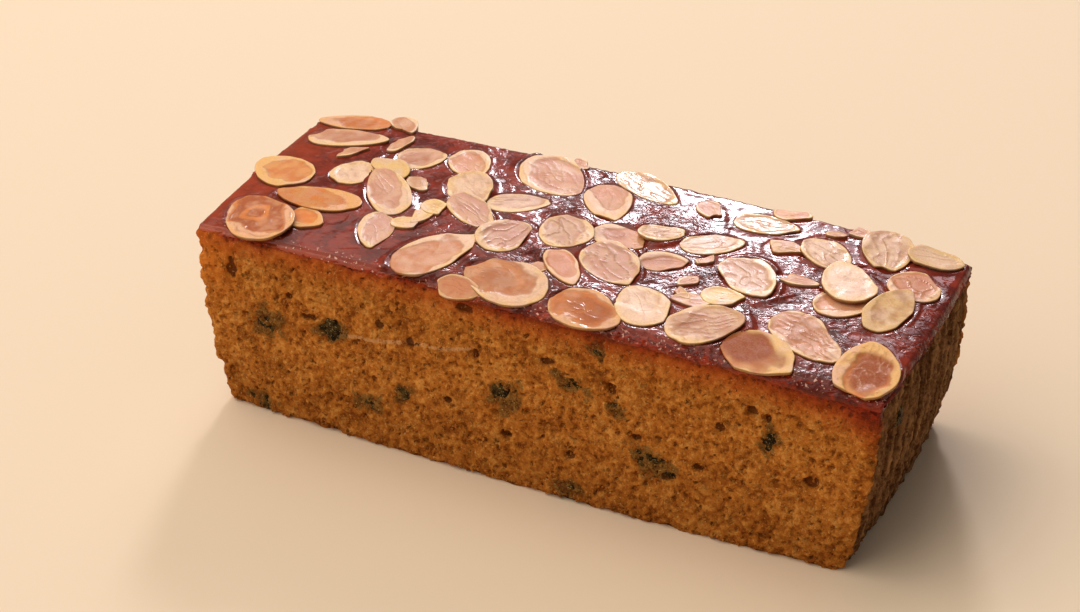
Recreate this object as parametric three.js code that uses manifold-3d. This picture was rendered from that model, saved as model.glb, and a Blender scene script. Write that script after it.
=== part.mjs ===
// Fruit cake loaf: a long low sponge baked in a slim loaf tin, with candied fruit showing in its sides
// and a top covered with flaked almonds.
//
// Units are millimetres. The origin is the middle of the base, +X runs along the loaf, +Y across it to
// the back and +Z up. The sponge is one closed body with the smallest almond scraps fused to it. Each
// larger almond flake and each piece of fruit is a body of its own: the flakes rest on what lies under
// them, and the fruit sits in pockets of the sponge.

import * as THREE from 'three';
import { mergeVertices } from 'three/addons/utils/BufferGeometryUtils.js';
import Module from 'manifold-3d';

const wasm = await Module();
wasm.setup();

// ---------------------------------------------------------------------------------------------
// Driving dimensions
// ---------------------------------------------------------------------------------------------

const LENGTH = 190;          // along the top edges
const WIDTH = 69;            // across the top edges
const CORNER_HEIGHT = 51.8;  // base to the corners of the top
const TOP_RISE_FRONT = 0.6;  // rise of the top along its front edge, middle of the loaf
const TOP_RISE_MIDDLE = 2.6; // the same along the centre line
const TOP_RISE_BACK = 3.3;   // the same along the back edge
const RISE_POWER = 4;        // the rise is flat along the loaf and falls off near the ends
const END_TAPER = 6.5;       // each end leans in this much from top to base
const END_BELLY = 2.4;       // outward bow of an end, half-way up
const END_SWELL = 1.6;       // outward bow of an end, across the loaf
const SIDE_SPREAD = 1.2;     // the base is this much wider than the top at each side
const SIDE_SKEW = 0.5;       // more than that at the right end, and less at the left
const SIDE_SWELL = 2.2;      // outward bow of a side at the base, middle of the loaf
const EDGE_RADIUS = 2.4;     // rounding of the top edges and the upright corners
const END_RADIUS = 1.4;      // the same, measured along the loaf: the ends have crisp edges

const FLUTE_PITCH = 7;       // upright folds that the paper lining leaves in the ends
const FLUTE_DEPTH = 0.45;
const SIDE_RELIEF = 0.45;    // coarse unevenness of the sides
const TOP_RELIEF = 0.15;     // and of the top, which the glaze evens out
const HEM_RELIEF = 0.8;      // raggedness of the base edge
const COLUMNS = 48;          // facets along the loaf
const ROWS = 17;             // across it
const COURSES = 14;          // and up it

const GAP = 0.3;             // clearance between separate bodies
const FLAKE_THICKNESS = 1.1; // a flaked almond
const FLAKE_HOLLOW = 0.3;    // how far its middle lies below its rim
const FLAKE_SIDES = 14;
const SCRAP_THICKNESS = 0.9; // a fused almond scrap stands this far above the sponge
const SCRAP_ROOT = 1.0;      // and reaches this far into it
const SCRAP_SIDES = 8;
const FRUIT_PROUD = 0.6;     // how far a piece of fruit stands out of the side
const FRUIT_LUMP = 0.12;     // unevenness of a piece of fruit, as a share of its size
const FRUIT_LOWEST = 0.4;    // fruit at the base edge is pressed flat this far above the base

const SPONGE_COLOR = 0xb26c2a;
const ALMOND_COLOR = 0xe2ae80;
const FRUIT_COLOR = 0x3a2c1c;

// Almond flakes: along, across, length, width, and the turn of the long axis in degrees. The pointed
// end lies towards the turn. A later flake lies over an earlier one where they meet.
const FLAKES = [
  [-84, 31.5, 22, 7.5, 185], [-81, 22.5, 24, 9, 10], [-88.5, 0, 21, 13, 155], [-69.5, 5.5, 14, 10, 85],
  [-71, -11, 25, 10.5, 180], [-81, -25, 26, 15, 142], [-56, 19, 14, 11, 30], [-60.5, 9.5, 12, 7, 170],
  [-55, -1.5, 23, 10, 132], [-42, 21, 16, 10, -50], [-35.5, 8.5, 16, 11, -43], [-49, -19, 17, 8.5, -70],
  [-29.5, -22.5, 26, 13, 62], [-18.5, 24, 23, 14, -30], [-21, 8, 17, 9, 25], [-29.5, -2, 19, 8, -30],
  [-16.5, -9, 16, 11, 65], [0.5, 18, 19, 11, -62], [7, 29, 22, 9, -25], [10.5, 3, 16, 10, -15],
  [-3.5, 0, 18, 12, 130], [3.5, -16, 18, 7.5, -48], [14.5, -10, 20, 12, -38], [-7.5, -27, 25, 14, 168],
  [16.5, -30, 20, 12.5, -12], [20, 9, 13, 8, 40], [33.5, 10, 17, 9, 30], [25.5, -3, 13, 8, 20],
  [28.5, -23, 18, 12, 135], [42.5, 24.5, 18, 8, 8], [48, -1, 20, 12, -42], [62, 17.5, 17, 10, -38],
  [73.5, -1, 17, 10, 40], [71.5, 6.5, 18, 12, 125], [75, 26, 19, 11.5, -75], [86.5, 14.5, 14, 12, -20],
  [87, 29, 15, 8.5, 15], [84.5, 0.5, 20, 9, 78], [70.5, -19, 24, 12, -33], [62.5, -30, 21, 13.5, -15],
  [46, -24.5, 20, 13, 30], [88, -25, 24, 13.5, 100],
];

// Almond scraps, the small pieces between the flakes: along, across, length, width, turn.
const SCRAPS = [
  [-76.5, 15, 12, 4, 35], [-69, 33, 11, 7, -50], [-69.5, -21, 12, 8.5, -10], [-65.5, 24, 10, 6, 65],
  [-49.5, 7, 9, 7, -50], [-42, -13, 7, 4, 20], [-39.5, -4, 8, 5, -20], [-41, -9, 7, 4, 60],
  [-31.5, -31, 8, 4, 10], [-15, 32.5, 8, 5, 0], [-2.5, -18, 7, 5, 30], [27, 25, 10, 6, -40],
  [47, 32, 10, 6, 10], [50.5, 15.5, 11, 8, 5], [58.5, 3, 13, 4, 3], [45.5, -12, 11, 7, 10],
  [35.5, -9, 7, 4, 50], [35, -14.5, 7, 3, -30], [35, 2, 6, 4, 80], [65, 32, 8, 5, -20],
  [61, 27.5, 6, 3, 10], [39, -17, 10, 6, 20],
];

// Fruit in the sides: the side it shows in, its place along that side, its height above the base, its
// length and height, and its turn in degrees.
const FRUIT = [
  ['front', -74, 28, 11, 9, 20], ['front', -54.5, 31, 8, 6, 10], ['front', -4, 25, 10, 9, 60],
  ['front', -45, 12, 9, 4, 0], ['front', -82, 2.8, 7, 5, 0], ['front', 15, 34, 10, 4, -25],
  ['front', 38, 17.5, 11, 7, -20], ['front', 17, 3, 9, 5.5, 0], ['front', 68, 32, 8, 4, 80],
  ['front', -34, 18, 6, 4, 80], ['front', 28, 30, 5, 4, 0], ['front', 21, 46, 4, 4, 0],
  ['right', -21, 40, 5, 4, 40], ['left', 12, 24, 8, 6, -20],
  ['back', 62, 22, 10, 7, 15], ['back', 8, 33, 8, 6, -30], ['back', -52, 14, 9, 6, 10],
];

// ---------------------------------------------------------------------------------------------
// Helpers
// ---------------------------------------------------------------------------------------------

/** A repeatable stream of numbers from 0 to 1. */
function randomStream(seed) {
  let state = seed >>> 0;
  return () => {
    state = (state + 0x6d2b79f5) >>> 0;
    let t = state;
    t = Math.imul(t ^ (t >>> 15), t | 1);
    t ^= t + Math.imul(t ^ (t >>> 7), t | 61);
    return ((t ^ (t >>> 14)) >>> 0) / 4294967296;
  };
}

/** A number from -1 to 1 that is the same each time for the same lattice place. */
function latticeNoise(i, j, k) {
  const mixed = Math.imul(i + 311, 374761393) ^ Math.imul(j + 97, 668265263) ^ Math.imul(k + 53, 974711);
  return randomStream(mixed)() * 2 - 1;
}

function toManifold(geometry) {
  const bare = geometry.clone();
  bare.deleteAttribute('normal');
  bare.deleteAttribute('uv');
  const merged = mergeVertices(bare, 1e-4);
  return new wasm.Manifold(new wasm.Mesh({
    numProp: 3,
    vertProperties: new Float32Array(merged.attributes.position.array),
    triVerts: new Uint32Array(merged.index.array),
  }));
}

function toGeometry(manifold) {
  const mesh = manifold.getMesh();
  const geometry = new THREE.BufferGeometry();
  geometry.setAttribute('position', new THREE.BufferAttribute(new Float32Array(mesh.vertProperties), 3));
  geometry.setIndex(new THREE.BufferAttribute(new Uint32Array(mesh.triVerts), 1));
  geometry.computeVertexNormals();
  return geometry;
}

/** Moves each point of a geometry by a rule from point to point. */
function reshape(geometry, rule) {
  const position = geometry.attributes.position;
  const point = new THREE.Vector3();
  for (let i = 0; i < position.count; i += 1) {
    point.fromBufferAttribute(position, i);
    rule(point);
    position.setXYZ(i, point.x, point.y, point.z);
  }
  return geometry;
}

// ---------------------------------------------------------------------------------------------
// Sponge
// ---------------------------------------------------------------------------------------------

/** Rise of the top above the corners. */
function topRise(x, y) {
  const along = 1 - Math.min(1, Math.abs((2 * x) / LENGTH)) ** RISE_POWER;
  const across = THREE.MathUtils.clamp((2 * y) / WIDTH, -1, 1);
  const edge = across < 0 ? TOP_RISE_FRONT : TOP_RISE_BACK;
  const bow = 1 - across * across;
  return along * (edge + (TOP_RISE_MIDDLE - edge) * bow);
}

/** Spreads the evenly spaced cuts of an edge so that the outermost ones lie a corner radius from it. */
function placeCut(value, size, cuts, radius) {
  const step = size / cuts;
  const half = size / 2;
  const reach = Math.abs(value);
  if (reach > half - step / 2) return value;
  return (Math.sign(value) * reach * (half - radius)) / (half - step);
}

/** Rounds the top edges and the upright corners of the upright block. */
function roundBlock(point) {
  const radii = new THREE.Vector3(END_RADIUS, EDGE_RADIUS, EDGE_RADIUS);
  const inner = new THREE.Vector3(
    THREE.MathUtils.clamp(point.x, radii.x - LENGTH / 2, LENGTH / 2 - radii.x),
    THREE.MathUtils.clamp(point.y, radii.y - WIDTH / 2, WIDTH / 2 - radii.y),
    Math.min(point.z, CORNER_HEIGHT - radii.z),
  );
  const outward = point.clone().sub(inner).divide(radii);
  if (outward.length() > 1) point.copy(outward.normalize().multiply(radii).add(inner));
}

/** Gives the upright block the loaf's lean, bow and risen top. */
function bowBlock(point) {
  const up = THREE.MathUtils.clamp(point.z / CORNER_HEIGHT, 0, 1);
  const along = (2 * point.x) / LENGTH;
  const across = (2 * point.y) / WIDTH;
  const endPush = END_SWELL * (1 - across * across) + END_BELLY * 4 * up * (1 - up) - END_TAPER * (1 - up);
  const sidePush = (SIDE_SPREAD + SIDE_SKEW * along + SIDE_SWELL * (1 - along * along)) * (1 - up);
  const rise = topRise(point.x, point.y) * up;
  point.x += along * endPush;
  point.y += across * sidePush;
  point.z += rise;
}

/** Coarse unevenness: folds in the ends, crumb on the sides, a ragged base edge. The base stays flat. */
function roughenBlock(point, flat) {
  const i = Math.round(flat.x * 4);
  const j = Math.round(flat.y * 4);
  const k = Math.round(flat.z * 4);
  const onEnd = Math.abs(flat.x) > LENGTH / 2 - END_RADIUS;
  const onSide = Math.abs(flat.y) > WIDTH / 2 - EDGE_RADIUS;
  const onTop = flat.z > CORNER_HEIGHT - EDGE_RADIUS;
  const onBase = flat.z < 0.5;
  const relief = onBase ? HEM_RELIEF : SIDE_RELIEF;
  if (onEnd) {
    const fold = Math.cos((2 * Math.PI * flat.y) / FLUTE_PITCH) * FLUTE_DEPTH;
    point.x += Math.sign(flat.x) * (fold + latticeNoise(i, j, k) * relief);
  }
  if (onSide) point.y += Math.sign(flat.y) * latticeNoise(j, k, i) * relief;
  if (onTop) point.z += latticeNoise(k, i, j) * TOP_RELIEF;
}

/** Replaces the grid of the flat base with a fan of faces round the middle of the base. */
function fanBase(block) {
  const [base] = block.groups.slice(-1);
  const index = Array.from(block.index.array);
  const position = block.attributes.position;
  const grid = index.splice(base.start, base.count);
  const vertices = Array.from(position.array);
  const centre = position.count;
  vertices.push(0, 0, -CORNER_HEIGHT / 2);
  const onEdge = (n) => Math.abs(position.getX(n)) > LENGTH / 2 - 1e-3
    || Math.abs(position.getY(n)) > WIDTH / 2 - 1e-3;
  const sides = new Map();
  const key = (a, b) => `${a}>${b}`;
  for (let face = 0; face < grid.length; face += 3) {
    for (let n = 0; n < 3; n += 1) sides.set(key(grid[face + n], grid[face + ((n + 1) % 3)]), true);
  }
  for (const name of sides.keys()) {
    const [a, b] = name.split('>').map(Number);
    if (!sides.has(key(b, a)) && onEdge(a) && onEdge(b)) index.push(a, b, centre);
  }
  const fanned = new THREE.BufferGeometry();
  fanned.setAttribute('position', new THREE.Float32BufferAttribute(vertices, 3));
  fanned.setIndex(index);
  return fanned;
}

function makeLoaf() {
  const block = new THREE.BoxGeometry(LENGTH, WIDTH, CORNER_HEIGHT, COLUMNS, ROWS, COURSES);
  return reshape(mergeVertices(fanBase(block)), (point) => {
    const middle = CORNER_HEIGHT / 2;
    point.x = placeCut(point.x, LENGTH, COLUMNS, END_RADIUS);
    point.y = placeCut(point.y, WIDTH, ROWS, EDGE_RADIUS);
    point.z = placeCut(point.z, CORNER_HEIGHT, COURSES, EDGE_RADIUS) + middle;
    const flat = point.clone();
    roundBlock(point);
    bowBlock(point);
    roughenBlock(point, flat);
  });
}

// ---------------------------------------------------------------------------------------------
// Fruit
// ---------------------------------------------------------------------------------------------

/** Where a piece of fruit sits: the point of the side, and the frame of that side. */
function fruitSeat([side, along, height]) {
  const spot = new THREE.Vector3(0, 0, height);
  const sign = side === 'front' || side === 'left' ? -1 : 1;
  const onSide = side === 'front' || side === 'back';
  if (onSide) spot.set(along, (sign * WIDTH) / 2, height);
  else spot.set((sign * LENGTH) / 2, along, height);
  bowBlock(spot);
  spot.z = height;
  const out = onSide ? new THREE.Vector3(0, sign, 0) : new THREE.Vector3(sign, 0, 0);
  const right = new THREE.Vector3(0, 0, 1).cross(out);
  return { spot, out, right };
}

/** A lumpy flattened piece of fruit, grown by a clearance for its pocket. */
function fruitGeometry(row, index, clearance) {
  const [, , , length, height, turn] = row;
  const { spot, out, right } = fruitSeat(row);
  const depth = 1.1 + 0.09 * length;
  const show = Math.sqrt(1 - ((depth - FRUIT_PROUD) / depth) ** 2);
  const half = new THREE.Vector3(length / 2 / show, height / 2 / show, depth);
  const ball = new THREE.IcosahedronGeometry(1, 1);
  ball.deleteAttribute('normal');
  ball.deleteAttribute('uv');
  const frame = new THREE.Matrix4().makeBasis(right, new THREE.Vector3(0, 0, 1), out);
  frame.setPosition(spot.addScaledVector(out, FRUIT_PROUD - depth));
  const lumpy = reshape(mergeVertices(ball, 1e-3), (point) => {
    const lump = 1 + FRUIT_LUMP * latticeNoise(
      Math.round(point.x * 9) + 31 * index,
      Math.round(point.y * 9),
      Math.round(point.z * 9),
    );
    point.multiplyScalar(lump);
    point.x *= half.x + clearance;
    point.y *= half.y + clearance;
    point.z *= half.z + clearance;
    point.applyAxisAngle(new THREE.Vector3(0, 0, 1), THREE.MathUtils.degToRad(turn));
  });
  const seated = lumpy.applyMatrix4(frame);
  if (clearance > 0) return seated;
  return reshape(seated, (point) => {
    point.z = Math.max(point.z, FRUIT_LOWEST);
  });
}

// ---------------------------------------------------------------------------------------------
// Almonds
// ---------------------------------------------------------------------------------------------

/** Half the width of a sliced almond, at a share of its half length: round behind, pointed in front. */
function almondHalfWidth(share, width) {
  const taper = 1.06 - 0.21 * share - 0.13 * Math.max(0, share) ** 3;
  return (width / 2) * Math.sqrt(Math.max(0, 1 - share * share)) * taper;
}

function almondOutline(length, width, sides) {
  const points = [];
  for (let i = 0; i < sides; i += 1) {
    const angle = (2 * Math.PI * i) / sides;
    const side = Math.sign(Math.round(Math.sin(angle) * 1e6));
    const share = Math.cos(angle);
    points.push(new THREE.Vector2((length / 2) * share, side * almondHalfWidth(share, width)));
  }
  return points;
}

/** A closed body from rings of points: [share of the outline, height], from the underside to the top. */
function ringBody(outline, rings) {
  const sides = outline.length;
  const vertices = [];
  const faces = [];
  for (const [share, height] of rings) {
    for (const point of outline) vertices.push(point.x * share, point.y * share, height);
  }
  for (let ring = 0; ring + 1 < rings.length; ring += 1) {
    for (let i = 0; i < sides; i += 1) {
      const a = ring * sides + i;
      const b = ring * sides + ((i + 1) % sides);
      faces.push(a, b, b + sides, a, b + sides, a + sides);
    }
  }
  const last = (rings.length - 1) * sides;
  for (let i = 1; i + 1 < sides; i += 1) {
    faces.push(0, i + 1, i);
    faces.push(last, last + i, last + i + 1);
  }
  const geometry = new THREE.BufferGeometry();
  geometry.setAttribute('position', new THREE.Float32BufferAttribute(vertices, 3));
  geometry.setIndex(faces);
  geometry.computeVertexNormals();
  return geometry;
}

/** Heights of the top of the cake on a fine grid, against which flakes are laid. */
class HeightMap {
  constructor(cell) {
    this.cell = cell;
    this.columns = Math.ceil((LENGTH + 20) / cell);
    this.rows = Math.ceil((WIDTH + 20) / cell);
    this.heights = new Float32Array(this.columns * this.rows);
  }

  column(x) { return Math.floor((x + (this.columns * this.cell) / 2) / this.cell); }

  row(y) { return Math.floor((y + (this.rows * this.cell) / 2) / this.cell); }

  centre(column, row) {
    const x = (column + 0.5 - this.columns / 2) * this.cell;
    const y = (row + 0.5 - this.rows / 2) * this.cell;
    return new THREE.Vector2(x, y);
  }

  height(x, y) { return this.heights[this.row(y) * this.columns + this.column(x)]; }

  /** Adds the faces of a geometry that look up. */
  add(geometry, matrix = new THREE.Matrix4()) {
    const position = geometry.attributes.position;
    const index = geometry.index.array;
    const corner = [0, 1, 2].map(() => new THREE.Vector3());
    for (let face = 0; face < index.length; face += 3) {
      corner.forEach((c, n) => c.fromBufferAttribute(position, index[face + n]).applyMatrix4(matrix));
      this.addTriangle(...corner);
    }
  }

  addTriangle(a, b, c) {
    const area = (b.x - a.x) * (c.y - a.y) - (c.x - a.x) * (b.y - a.y);
    if (area < 1e-6) return;
    const reach = this.cell;
    for (let column = this.column(Math.min(a.x, b.x, c.x) - reach);
      column <= this.column(Math.max(a.x, b.x, c.x) + reach); column += 1) {
      for (let row = this.row(Math.min(a.y, b.y, c.y) - reach);
        row <= this.row(Math.max(a.y, b.y, c.y) + reach); row += 1) {
        const p = this.centre(column, row);
        const u = ((b.x - p.x) * (c.y - p.y) - (c.x - p.x) * (b.y - p.y)) / area;
        const v = ((c.x - p.x) * (a.y - p.y) - (a.x - p.x) * (c.y - p.y)) / area;
        const slack = (-0.5 * this.cell) / Math.sqrt(area);
        if (u < slack || v < slack || 1 - u - v < slack) continue;
        const z = Math.min(u * a.z + v * b.z + (1 - u - v) * c.z, Math.max(a.z, b.z, c.z));
        const place = row * this.columns + column;
        if (z > this.heights[place]) this.heights[place] = z;
      }
    }
  }

  /** The grid points under an almond laid at a place, each with its height. */
  under(length, width, place, turn) {
    const found = [];
    const reach = length / 2;
    const cos = Math.cos(turn);
    const sin = Math.sin(turn);
    for (let column = this.column(place.x - reach); column <= this.column(place.x + reach); column += 1) {
      for (let row = this.row(place.y - reach); row <= this.row(place.y + reach); row += 1) {
        const p = this.centre(column, row);
        const s = (p.x - place.x) * cos + (p.y - place.y) * sin;
        const t = (p.y - place.y) * cos - (p.x - place.x) * sin;
        if (Math.abs(s) > reach || Math.abs(t) > almondHalfWidth(s / reach, width) + GAP / 2) continue;
        found.push({ x: p.x, y: p.y, z: this.heights[row * this.columns + column], s, t });
      }
    }
    return found;
  }
}

/** The lowest plane that clears all points: it touches three of them round the centre. */
function restingPlane(points, centre) {
  const highest = new Map();
  for (const point of points) {
    const key = `${Math.round(point.s / 4)},${Math.round(point.t / 3)}`;
    if (!highest.has(key) || point.z > highest.get(key).z) highest.set(key, point);
  }
  const supports = [...highest.values()];
  let best = null;
  let lowest = Infinity;
  for (let i = 0; i < supports.length; i += 1) {
    for (let j = i + 1; j < supports.length; j += 1) {
      for (let k = j + 1; k < supports.length; k += 1) {
        const plane = planeThrough(supports[i], supports[j], supports[k]);
        if (!plane) continue;
        const over = Math.max(...supports.map((p) => p.z - planeHeight(plane, p)));
        const z = planeHeight(plane, centre) + Math.max(0, over);
        if (z < lowest) [best, lowest] = [plane, z];
      }
    }
  }
  const worst = Math.max(...points.map((p) => p.z - planeHeight(best, p)));
  return { ...best, base: best.base + Math.max(0, worst) };
}

const STEEPEST = Math.tan(THREE.MathUtils.degToRad(14));

function planeThrough(a, b, c) {
  const det = (b.x - a.x) * (c.y - a.y) - (c.x - a.x) * (b.y - a.y);
  if (Math.abs(det) < 4) return null;
  const slopeX = ((b.z - a.z) * (c.y - a.y) - (c.z - a.z) * (b.y - a.y)) / det;
  const slopeY = ((b.x - a.x) * (c.z - a.z) - (c.x - a.x) * (b.z - a.z)) / det;
  if (Math.hypot(slopeX, slopeY) > STEEPEST) return null;
  return { slopeX, slopeY, base: a.z - slopeX * a.x - slopeY * a.y };
}

function planeHeight(plane, point) {
  return plane.base + plane.slopeX * point.x + plane.slopeY * point.y;
}

/** Lays a flake on the top of the cake and adds it to the heights. */
function layFlake([x, y, length, width, degrees], heightMap) {
  const geometry = ringBody(almondOutline(length, width, FLAKE_SIDES), [
    [0.97, 0],
    [0.93, FLAKE_THICKNESS],
    [0.55, FLAKE_THICKNESS - FLAKE_HOLLOW],
  ]);
  const turn = THREE.MathUtils.degToRad(degrees);
  const centre = new THREE.Vector2(x, y);
  const plane = restingPlane(heightMap.under(length, width, centre, turn), centre);
  const up = new THREE.Vector3(-plane.slopeX, -plane.slopeY, 1).normalize();
  const forward = new THREE.Vector3(Math.cos(turn), Math.sin(turn), 0);
  const side = up.clone().cross(forward).normalize();
  forward.copy(side).cross(up);
  const mesh = new THREE.Mesh(geometry, almondMaterial);
  mesh.quaternion.setFromRotationMatrix(new THREE.Matrix4().makeBasis(forward, side, up));
  mesh.position.set(x, y, planeHeight(plane, centre) + GAP);
  mesh.updateMatrixWorld();
  heightMap.add(geometry, mesh.matrixWorld);
  return mesh;
}

/** A scrap that grows out of the sponge. */
function scrapGeometry([x, y, length, width, degrees], heightMap) {
  const body = ringBody(almondOutline(length, width, SCRAP_SIDES), [
    [1, -SCRAP_ROOT],
    [0.9, SCRAP_THICKNESS],
  ]);
  body.rotateZ(THREE.MathUtils.degToRad(degrees));
  return body.translate(x, y, heightMap.height(x, y));
}

// ---------------------------------------------------------------------------------------------
// The cake
// ---------------------------------------------------------------------------------------------

const spongeMaterial = new THREE.MeshStandardMaterial({
  color: SPONGE_COLOR, roughness: 0.85, metalness: 0, flatShading: true,
});
const almondMaterial = new THREE.MeshStandardMaterial({ color: ALMOND_COLOR, roughness: 0.3, metalness: 0 });
const fruitMaterial = new THREE.MeshStandardMaterial({ color: FRUIT_COLOR, roughness: 0.5, metalness: 0 });

function addNamed(group, mesh, name) {
  mesh.name = name;
  group.add(mesh);
}

function numbered(word, index) {
  return `${word}_${String(index + 1).padStart(2, '0')}`;
}

const HEIGHT_CELL = 0.5;
const group = new THREE.Group();

let sponge = toManifold(makeLoaf());
FRUIT.forEach((row, index) => {
  sponge = sponge.subtract(toManifold(fruitGeometry(row, index, GAP)));
  const piece = new THREE.Mesh(fruitGeometry(row, index, 0), fruitMaterial);
  piece.geometry.computeVertexNormals();
  addNamed(group, piece, numbered('fruit', index));
});

const bareTop = new HeightMap(HEIGHT_CELL);
bareTop.add(toGeometry(sponge));
for (const row of SCRAPS) sponge = sponge.add(toManifold(scrapGeometry(row, bareTop)));

const spongeMesh = new THREE.Mesh(toGeometry(sponge), spongeMaterial);
addNamed(group, spongeMesh, 'sponge');

const heightMap = new HeightMap(HEIGHT_CELL);
heightMap.add(spongeMesh.geometry);
FLAKES.forEach((row, index) => addNamed(group, layFlake(row, heightMap), numbered('almond', index)));

export default group;
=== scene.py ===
# %% [markdown]
# # A glazed fruit cake loaf with flaked almonds
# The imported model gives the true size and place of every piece: one sponge, the almond flakes on its
# top and the candied fruit in its sides. This lesson dresses them. It could be done by sculpting, but
# a cake is mostly rules: pores and crumbs repeat, a glaze follows what it covers, and all flakes are
# cut alike. So each piece is worked out in code, in millimetres, and becomes a mesh in metres.

import math

import bpy
import numpy as np
from mathutils import Matrix, Vector, noise


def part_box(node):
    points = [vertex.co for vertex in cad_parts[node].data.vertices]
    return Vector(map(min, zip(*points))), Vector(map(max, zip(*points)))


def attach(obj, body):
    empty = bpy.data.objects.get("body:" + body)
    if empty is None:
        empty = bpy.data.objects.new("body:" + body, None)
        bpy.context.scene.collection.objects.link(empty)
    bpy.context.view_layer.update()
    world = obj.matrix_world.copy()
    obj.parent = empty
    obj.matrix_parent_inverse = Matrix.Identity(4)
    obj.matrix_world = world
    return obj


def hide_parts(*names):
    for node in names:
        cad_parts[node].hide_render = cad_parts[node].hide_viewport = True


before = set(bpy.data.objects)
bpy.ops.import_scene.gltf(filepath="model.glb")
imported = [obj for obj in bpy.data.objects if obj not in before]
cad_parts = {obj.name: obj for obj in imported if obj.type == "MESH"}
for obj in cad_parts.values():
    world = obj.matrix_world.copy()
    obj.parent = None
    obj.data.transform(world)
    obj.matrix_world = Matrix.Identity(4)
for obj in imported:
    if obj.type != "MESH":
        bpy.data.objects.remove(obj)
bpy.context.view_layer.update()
MM = 0.001

# %% [markdown]
# ## The camera
# From a little over 0.7 m, through a short telephoto lens, the loaf shows its long side, its top and
# a sliver of its right end. The camera is set by its bearing, its height angle, a small roll and the
# point of the table that lies in the middle of the view. Plain sRGB colour keeps the glaze deep.

# %% Camera
CAMERA_BEARING = math.radians(26.48)
CAMERA_HEIGHT_ANGLE = math.radians(32.11)
CAMERA_ROLL = math.radians(-0.72)
CAMERA_DISTANCE = 719.3
CAMERA_TARGET = Vector((-32.62, 43.25, 0.0))
LENS = 83.33


def make_camera():
    back = Vector((
        math.sin(CAMERA_BEARING) * math.cos(CAMERA_HEIGHT_ANGLE),
        -math.cos(CAMERA_BEARING) * math.cos(CAMERA_HEIGHT_ANGLE),
        math.sin(CAMERA_HEIGHT_ANGLE),
    ))
    level = Vector((0, 0, 1)).cross(back).normalized()
    upright = back.cross(level)
    right = level * math.cos(CAMERA_ROLL) + upright * math.sin(CAMERA_ROLL)
    up = upright * math.cos(CAMERA_ROLL) - level * math.sin(CAMERA_ROLL)
    data = bpy.data.cameras.new("camera")
    data.lens = LENS
    data.sensor_width = 36
    data.clip_start = 0.01
    camera = bpy.data.objects.new("camera", data)
    place = (CAMERA_TARGET + back * CAMERA_DISTANCE) * MM
    camera.matrix_world = Matrix.Translation(place) @ Matrix((right, up, back)).transposed().to_4x4()
    bpy.context.collection.objects.link(camera)
    bpy.context.scene.camera = camera
    return camera


camera = make_camera()
bpy.context.scene.view_settings.view_transform = "Standard"
print("camera at", [round(v / MM) for v in camera.location], "mm")

# %% [markdown]
# ## Shader and geometry maths as plain Python
# Both materials and Geometry Nodes are node trees. Wiring them by hand hides the idea, so a `Value`
# wraps an output socket and turns `+`, `-`, `*` and `**` into Math nodes, and a `Sheet` makes every
# other node from its type, its settings and its sockets. The same functions then serve both kinds of
# tree, and a pore can be sunk in the mesh and given painted shade in the material by the same rule.


# %% A value: one socket, and Python's operators on it
def operator(operation, reflected=False):
    """The method behind one of Python's operators, which adds a Math node."""
    if reflected:
        return lambda self, other: self.sheet.math(operation, other, self)
    return lambda self, other: self.sheet.math(operation, self, other)


class Value:
    """An output socket that Python's operators work on, from either side."""

    __add__, __radd__ = operator("ADD"), operator("ADD", reflected=True)
    __sub__, __rsub__ = operator("SUBTRACT"), operator("SUBTRACT", reflected=True)
    __mul__, __rmul__ = operator("MULTIPLY"), operator("MULTIPLY", reflected=True)
    __pow__ = operator("POWER")

    def __init__(self, sheet, socket):
        self.sheet = sheet
        self.socket = socket

    def other(self, name):
        """Another output of the same node."""
        return Value(self.sheet, self.socket.node.outputs[name])


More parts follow.
